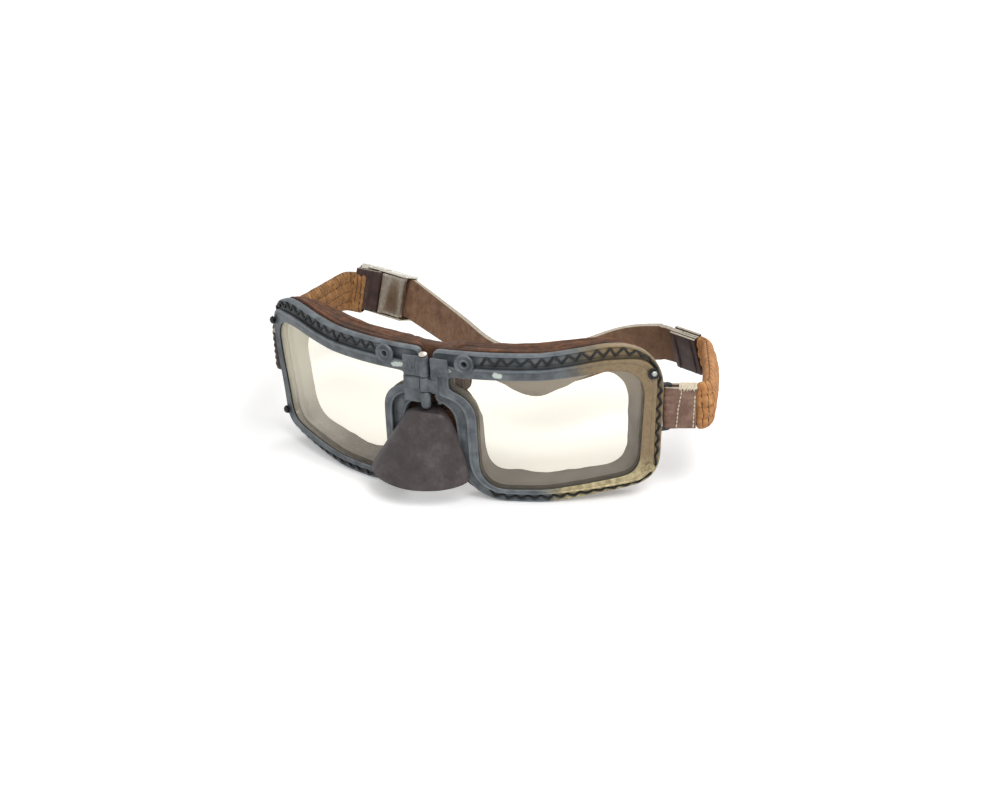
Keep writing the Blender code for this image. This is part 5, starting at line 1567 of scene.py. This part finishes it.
def strap_frames():
    """The strap's line from inside the left rear tab, round the head and through the buckle."""
    pocket = REAR_TAB_LENGTH - STRAP_POCKET
    points = [REAR_TAB_PLACE @ Vector((x, 0.0, 0.0))
              for x in (pocket, REAR_TAB_LENGTH, REAR_TAB_LENGTH + STRAP_POCKET)]
    tab_up, buckle_up = REAR_TAB_PLACE.to_3x3().col[1], BUCKLE_PLACE.to_3x3().col[1]
    ups = [tab_up.copy() for _ in points]
    for *shares, level, as_tab, as_buckle in STRAP_ROUTE:
        points.append(loop_point(shares, level))
        ups.append(UP.lerp(tab_up, as_tab).lerp(buckle_up, as_buckle))
    for along in (-12.8, 0.0, 12.5, 22.0):
        points.append(BUCKLE_PLACE @ Vector((along * MM, 0.0, 0.0)))
        ups.append(buckle_up.copy())
    steps = 12
    points, ups = catmull(points, steps), catmull(ups, steps)
    last = len(points) - 3 * steps - 1
    for run in (points, ups):
        for first, passes in ((30, 170), (last - 34, 400)):
            for _ in range(passes):
                run[first:last] = smoothed(run[first - 1:last + 1])
    return station_frames(points, ups, 1)


def rear_strap():
    """The flat strap on edge, rough side in, with pale cut edges and a slanted free end.

    Its UV map runs along it, for the fibres of its hide.
    """
    frames = strap_frames()
    steps, slant, spacing = 6, 2.5 * MM, 0.9 * MM
    rows = [[point + up * STRAP_WIDTH * (j / steps - 0.5) for j in range(steps + 1)]
            for point, up, _ in frames]
    back = (frames[-2][0] - frames[-1][0]).normalized()
    rows[-1] = [point + back * slant * j / steps for j, point in enumerate(rows[-1])]
    bm = bmesh.new()
    sweep(bm, rows, closed=False)
    uv = bm.loops.layers.uv.new("run")
    numbers = {point[:]: (i, j) for i, row in enumerate(rows) for j, point in enumerate(row)}
    for face in bm.faces:
        for loop in face.loops:
            i, j = numbers[loop.vert.co[:]]
            loop[uv].uv = (i * spacing, j * STRAP_WIDTH / steps)
    strap = piece_from(bm, "strap_length", None, [STRAP_LEATHER, EDGE_LEATHER], smooth=50,
                       wall=STRAP_THICKNESS, rim=1, bevel=0.16 * MM, slot="strap_leather")
    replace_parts(strap, "rear_strap")
    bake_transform(strap)


CHEEK_IN = STRAP_WIDTH / 2 + 0.6 * MM
CHEEK_OUT = CHEEK_IN + 0.8 * MM
BASE_FACE = STRAP_THICKNESS / 2 + GAP


def cross_rod(bm, spot, reach, radius):
    """A rod across the buckle, at a place along and out from its plate."""
    rod(bm, [BUCKLE_PLACE @ Vector((spot[0], y, spot[1])) for y in (-reach, 0.0, reach)], radius,
        sides=16)


def buckle():
    """The nickel buckle: base plate, two cheeks, one with a raised pad, tab bar, pin and lever."""
    half = 12.5 * MM
    bm = bmesh.new()
    slab(bm, (-half, -CHEEK_OUT, BASE_FACE), (half, CHEEK_OUT, BASE_FACE + 0.8 * MM),
         0.2 * MM, BUCKLE_PLACE)
    for near, far in ((CHEEK_IN, CHEEK_OUT), (-CHEEK_OUT, -CHEEK_IN)):
        slab(bm, (-half, near, -5.6 * MM), (half, far, BASE_FACE + 0.3 * MM), 0.25 * MM,
             BUCKLE_PLACE)
    slab(bm, (1.6 * MM, CHEEK_OUT - 0.2 * MM, -5.0 * MM),
         (9.5 * MM, CHEEK_OUT + 0.35 * MM, -0.5 * MM), 0.2 * MM, BUCKLE_PLACE)
    cross_rod(bm, BUCKLE_BAR, CHEEK_OUT, WIRE)
    frame_piece = piece_from(bm, "buckle_body", "right_side", NICKEL, slot="nickel")
    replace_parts(frame_piece, "buckle_frame")
    bm = bmesh.new()
    cross_rod(bm, (-9.0 * MM, -3.1 * MM), CHEEK_OUT + 0.2 * MM, 0.7 * MM)
    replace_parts(piece_from(bm, "lever_pin_rod", "right_side", NICKEL, slot="nickel"), "buckle_pin")
    bm = bmesh.new()
    inner = CHEEK_IN - 0.35 * MM
    outline = ((-10.4, -2.6), (-9.8, -4.2), (-8.6, -4.7), (-4.0, -4.4), (-1.5, -4.6), (0.2, -5.6),
               (0.8, -6.6))
    path = catmull([Vector((x, 0.0, z)) for x, z in in_mm(outline)], 5)
    sweep(bm, [[BUCKLE_PLACE @ Vector((p.x, inner * (j / 6 - 1), p.z)) for p in path]
               for j in range(13)], closed=False)
    lever = piece_from(bm, "lever_plate", "lever", NICKEL_DULL, smooth=60, wall=0.8 * MM,
                       bevel=0.2 * MM, slot="nickel")
    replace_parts(lever, "buckle_lever")


def keeper():
    """The flat bright loop that slides on the strap's free end."""
    bm = bmesh.new()
    inner_y, inner_z = STRAP_WIDTH / 2 + GAP, BASE_FACE
    wall, corner = 0.8 * MM, 0.6 * MM
    rows = []
    for along, extra in ((15.0, 0.0), (15.0, wall), (15.2, wall), (18.8, wall), (19.0, wall),
                         (19.0, 0.0)):
        y, z = inner_y + extra, inner_z + extra
        loop = []
        for a, b in ((1, 1), (1, -1), (-1, -1), (-1, 1)):
            for da, db in (((1.0, 0.4), (0.4, 1.0)) if a * b < 0 else ((0.4, 1.0), (1.0, 0.4))):
                loop.append((a * (y - corner * (1 - da)), b * (z - corner * (1 - db))))
        rows.append([BUCKLE_PLACE @ Vector((along * MM, p, q)) for p, q in loop])
    sweep(bm, rows, ring=True)
    loop = piece_from(bm, "keeper_loop", "keeper", NICKEL, smooth=50, slot="nickel")
    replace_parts(loop, "strap_keeper")


# Making it all

stand_camera()
CHIPS = {
    "left": ((27.2, 52.0, 1.3), (28.4, 51.8, 1.0), (33.0, 58.2, 0.8), (9.4, 52.4, 0.8),
             (8.2, 52.6, 0.8)),
    "right": ((8.8, 52.6, 0.9), (10.3, 52.3, 1.1), (11.8, 52.0, 1.2), (13.2, 51.8, 0.9)),
}


def chips(side_name):
    """Where the paint is chipped, on the bezel's face."""
    return [(tuple((on_face(along * MM, up * MM, 1.4 * MM, SIDES[side_name]) + HINGE) / MM), radius)
            for along, up, radius in CHIPS[side_name]]


SLATE = slate_paint("slate_paint", worn_specks)
SLATE_RIGHT = slate_paint("slate_paint_right", worn_specks, chips("right"))
SLATE_WORN = slate_paint("slate_paint_worn", worn_outer_end, chips("left"))
LENS_SHADOW = plain("lens_seat_shadow", tone(20, 20, 22), 0.7)
SLATE_DARK = plain("dark_wire", tone(38, 40, 42), 0.4, metallic=0.3)
SCREW_BLACK = plain("black_screw", tone(30, 28, 32), 0.22, metallic=0.4, mottle=0.2)
GLASS = clear_glass()
PAD_SUEDE = suede("brown_suede", tone(54, 33, 21), tone(86, 54, 33), tone(128, 83, 52),
                  folded=True)
BAND_SUEDES = {
    "left": suede("tan_suede", tone(138, 90, 50), tone(186, 130, 78), tone(220, 166, 108)),
    # The right band takes a darker copy of the tan suede: painted shade.
    "right": suede("tan_suede_shaded", tone(108, 76, 44), tone(152, 108, 64), tone(190, 142, 90)),
}
LINING_CLOTH = lining_cloth()
FLAP_LEATHER = smooth_leather("dark_leather", tone(54, 47, 48), tone(70, 62, 63), tone(92, 83, 84),
                              roughness=0.38)
FLAP_EDGE = plain("flap_edge", tone(84, 66, 58), 0.8, depth=0.06)
TAB_LEATHER = smooth_leather("tab_leather", tone(94, 67, 55), tone(122, 94, 81),
                             tone(156, 126, 108), roughness=0.55)
DARK_TAB = smooth_leather("dark_tab_leather", tone(42, 29, 27), tone(62, 44, 40),
                          tone(86, 66, 60), roughness=0.5)
STRAP_LEATHER = strap_hide()
EDGE_LEATHER = plain("pale_edge", tone(176, 166, 150), 0.85, depth=0.08)
CORD = plain("black_cord", tone(16, 17, 19), 0.55, depth=0.06, scale=1.6)
NICKEL = plain("worn_nickel", tone(205, 200, 188), 0.26, metallic=1.0, mottle=0.08, depth=0.02)
NICKEL_DULL = plain("dull_nickel", tone(158, 150, 138), 0.35, metallic=1.0, mottle=0.2)
STEEL = plain("spring_steel", tone(150, 150, 152), 0.35, metallic=1.0, mottle=0.1)
THREAD = plain("cream_thread", tone(226, 214, 190), 0.8, mottle=0.1, depth=0.04)
DARK_THREAD = plain("brown_thread", tone(92, 74, 62), 0.8, mottle=0.1, depth=0.04)
CHIPPED_METAL = plain("chipped_metal", tone(176, 180, 174), 0.4, metallic=0.5, mottle=0.4,
                      scale=1.6)

for side_name in SIDES:
    body = f"{side_name}_side"
    metal = SLATE_WORN if side_name == "left" else SLATE_RIGHT
    eye_frame(side_name, body, metal)
    bezel(side_name, body, metal)
    lens(side_name, body, GLASS)
    face_pad(side_name, body, PAD_SUEDE)
    eyecup_lining(side_name, body, LINING_CLOTH)
    lacing(side_name, body, CORD)
    eyelet(side_name, body)
    strap_loop(side_name, body)
    front_tab(side_name)
    for where in SCREW_PLACES:
        screw(where, side_name, body)
    for face in ("inner", "outer"):
        spring_cover(side_name, face)
    for channel in range(1, 5):
        band_spring(side_name, channel)
for side_name in ("right", "left"):
    hinge_leaf(side_name, f"{side_name}_side")
hinge_pin()
nose_flap()
bridge_roll()
rear_tab_left()
rear_tab_right()
rear_strap()
buckle()
keeper()


# Floor and light

def lay_floor():
    """A pale floor that stays white to the camera, but keeps the goggles' shadow."""
    bm = bmesh.new()
    bmesh.ops.create_grid(bm, x_segments=1, y_segments=1, size=4.0)
    mesh = bpy.data.meshes.new("floor")
    bm.to_mesh(mesh)
    bm.free()
    floor = bpy.data.objects.new("floor", mesh)
    floor.location = (0.0, 0.0, -0.05 * MM)
    bpy.context.scene.collection.objects.link(floor)
    finish = Finish("floor", roughness=1.0, Specular_Ior_Level=0.0)
    finish.set("Base Color", (0.92, 0.92, 0.92))
    far = finish.distance(finish.place()).stepped(350.0, 900.0)
    finish.set("Emission Color", finish.shown() * (0.25 + 0.75 * far))
    finish.set("Emission Strength", 1.0)
    mesh.materials.append(finish.material)


def light_the_stage():
    """A white room that lights less than it shows, and three soft lamps."""
    world = bpy.data.worlds.new("studio")
    world.use_nodes = True
    nodes = Nodes(world.node_tree)
    background = world.node_tree.nodes["Background"]
    dimmed = 0.46
    nodes.put(background.inputs["Color"], (1.0, 1.0, 1.0))
    nodes.put(background.inputs["Strength"], dimmed + (1.0 - dimmed) * nodes.shown())
    bpy.context.scene.world = world
    soft_lamp("key", (0.55, -0.30, 0.95), 0.6, 6.5)
    soft_lamp("fill", (0.05, -0.75, 0.85), 0.8, 1.3)
    soft_lamp("back", (0.1, 0.8, 0.9), 0.6, 3.6)


lay_floor()
light_the_stage()
bpy.context.scene.view_settings.view_transform = "Standard"
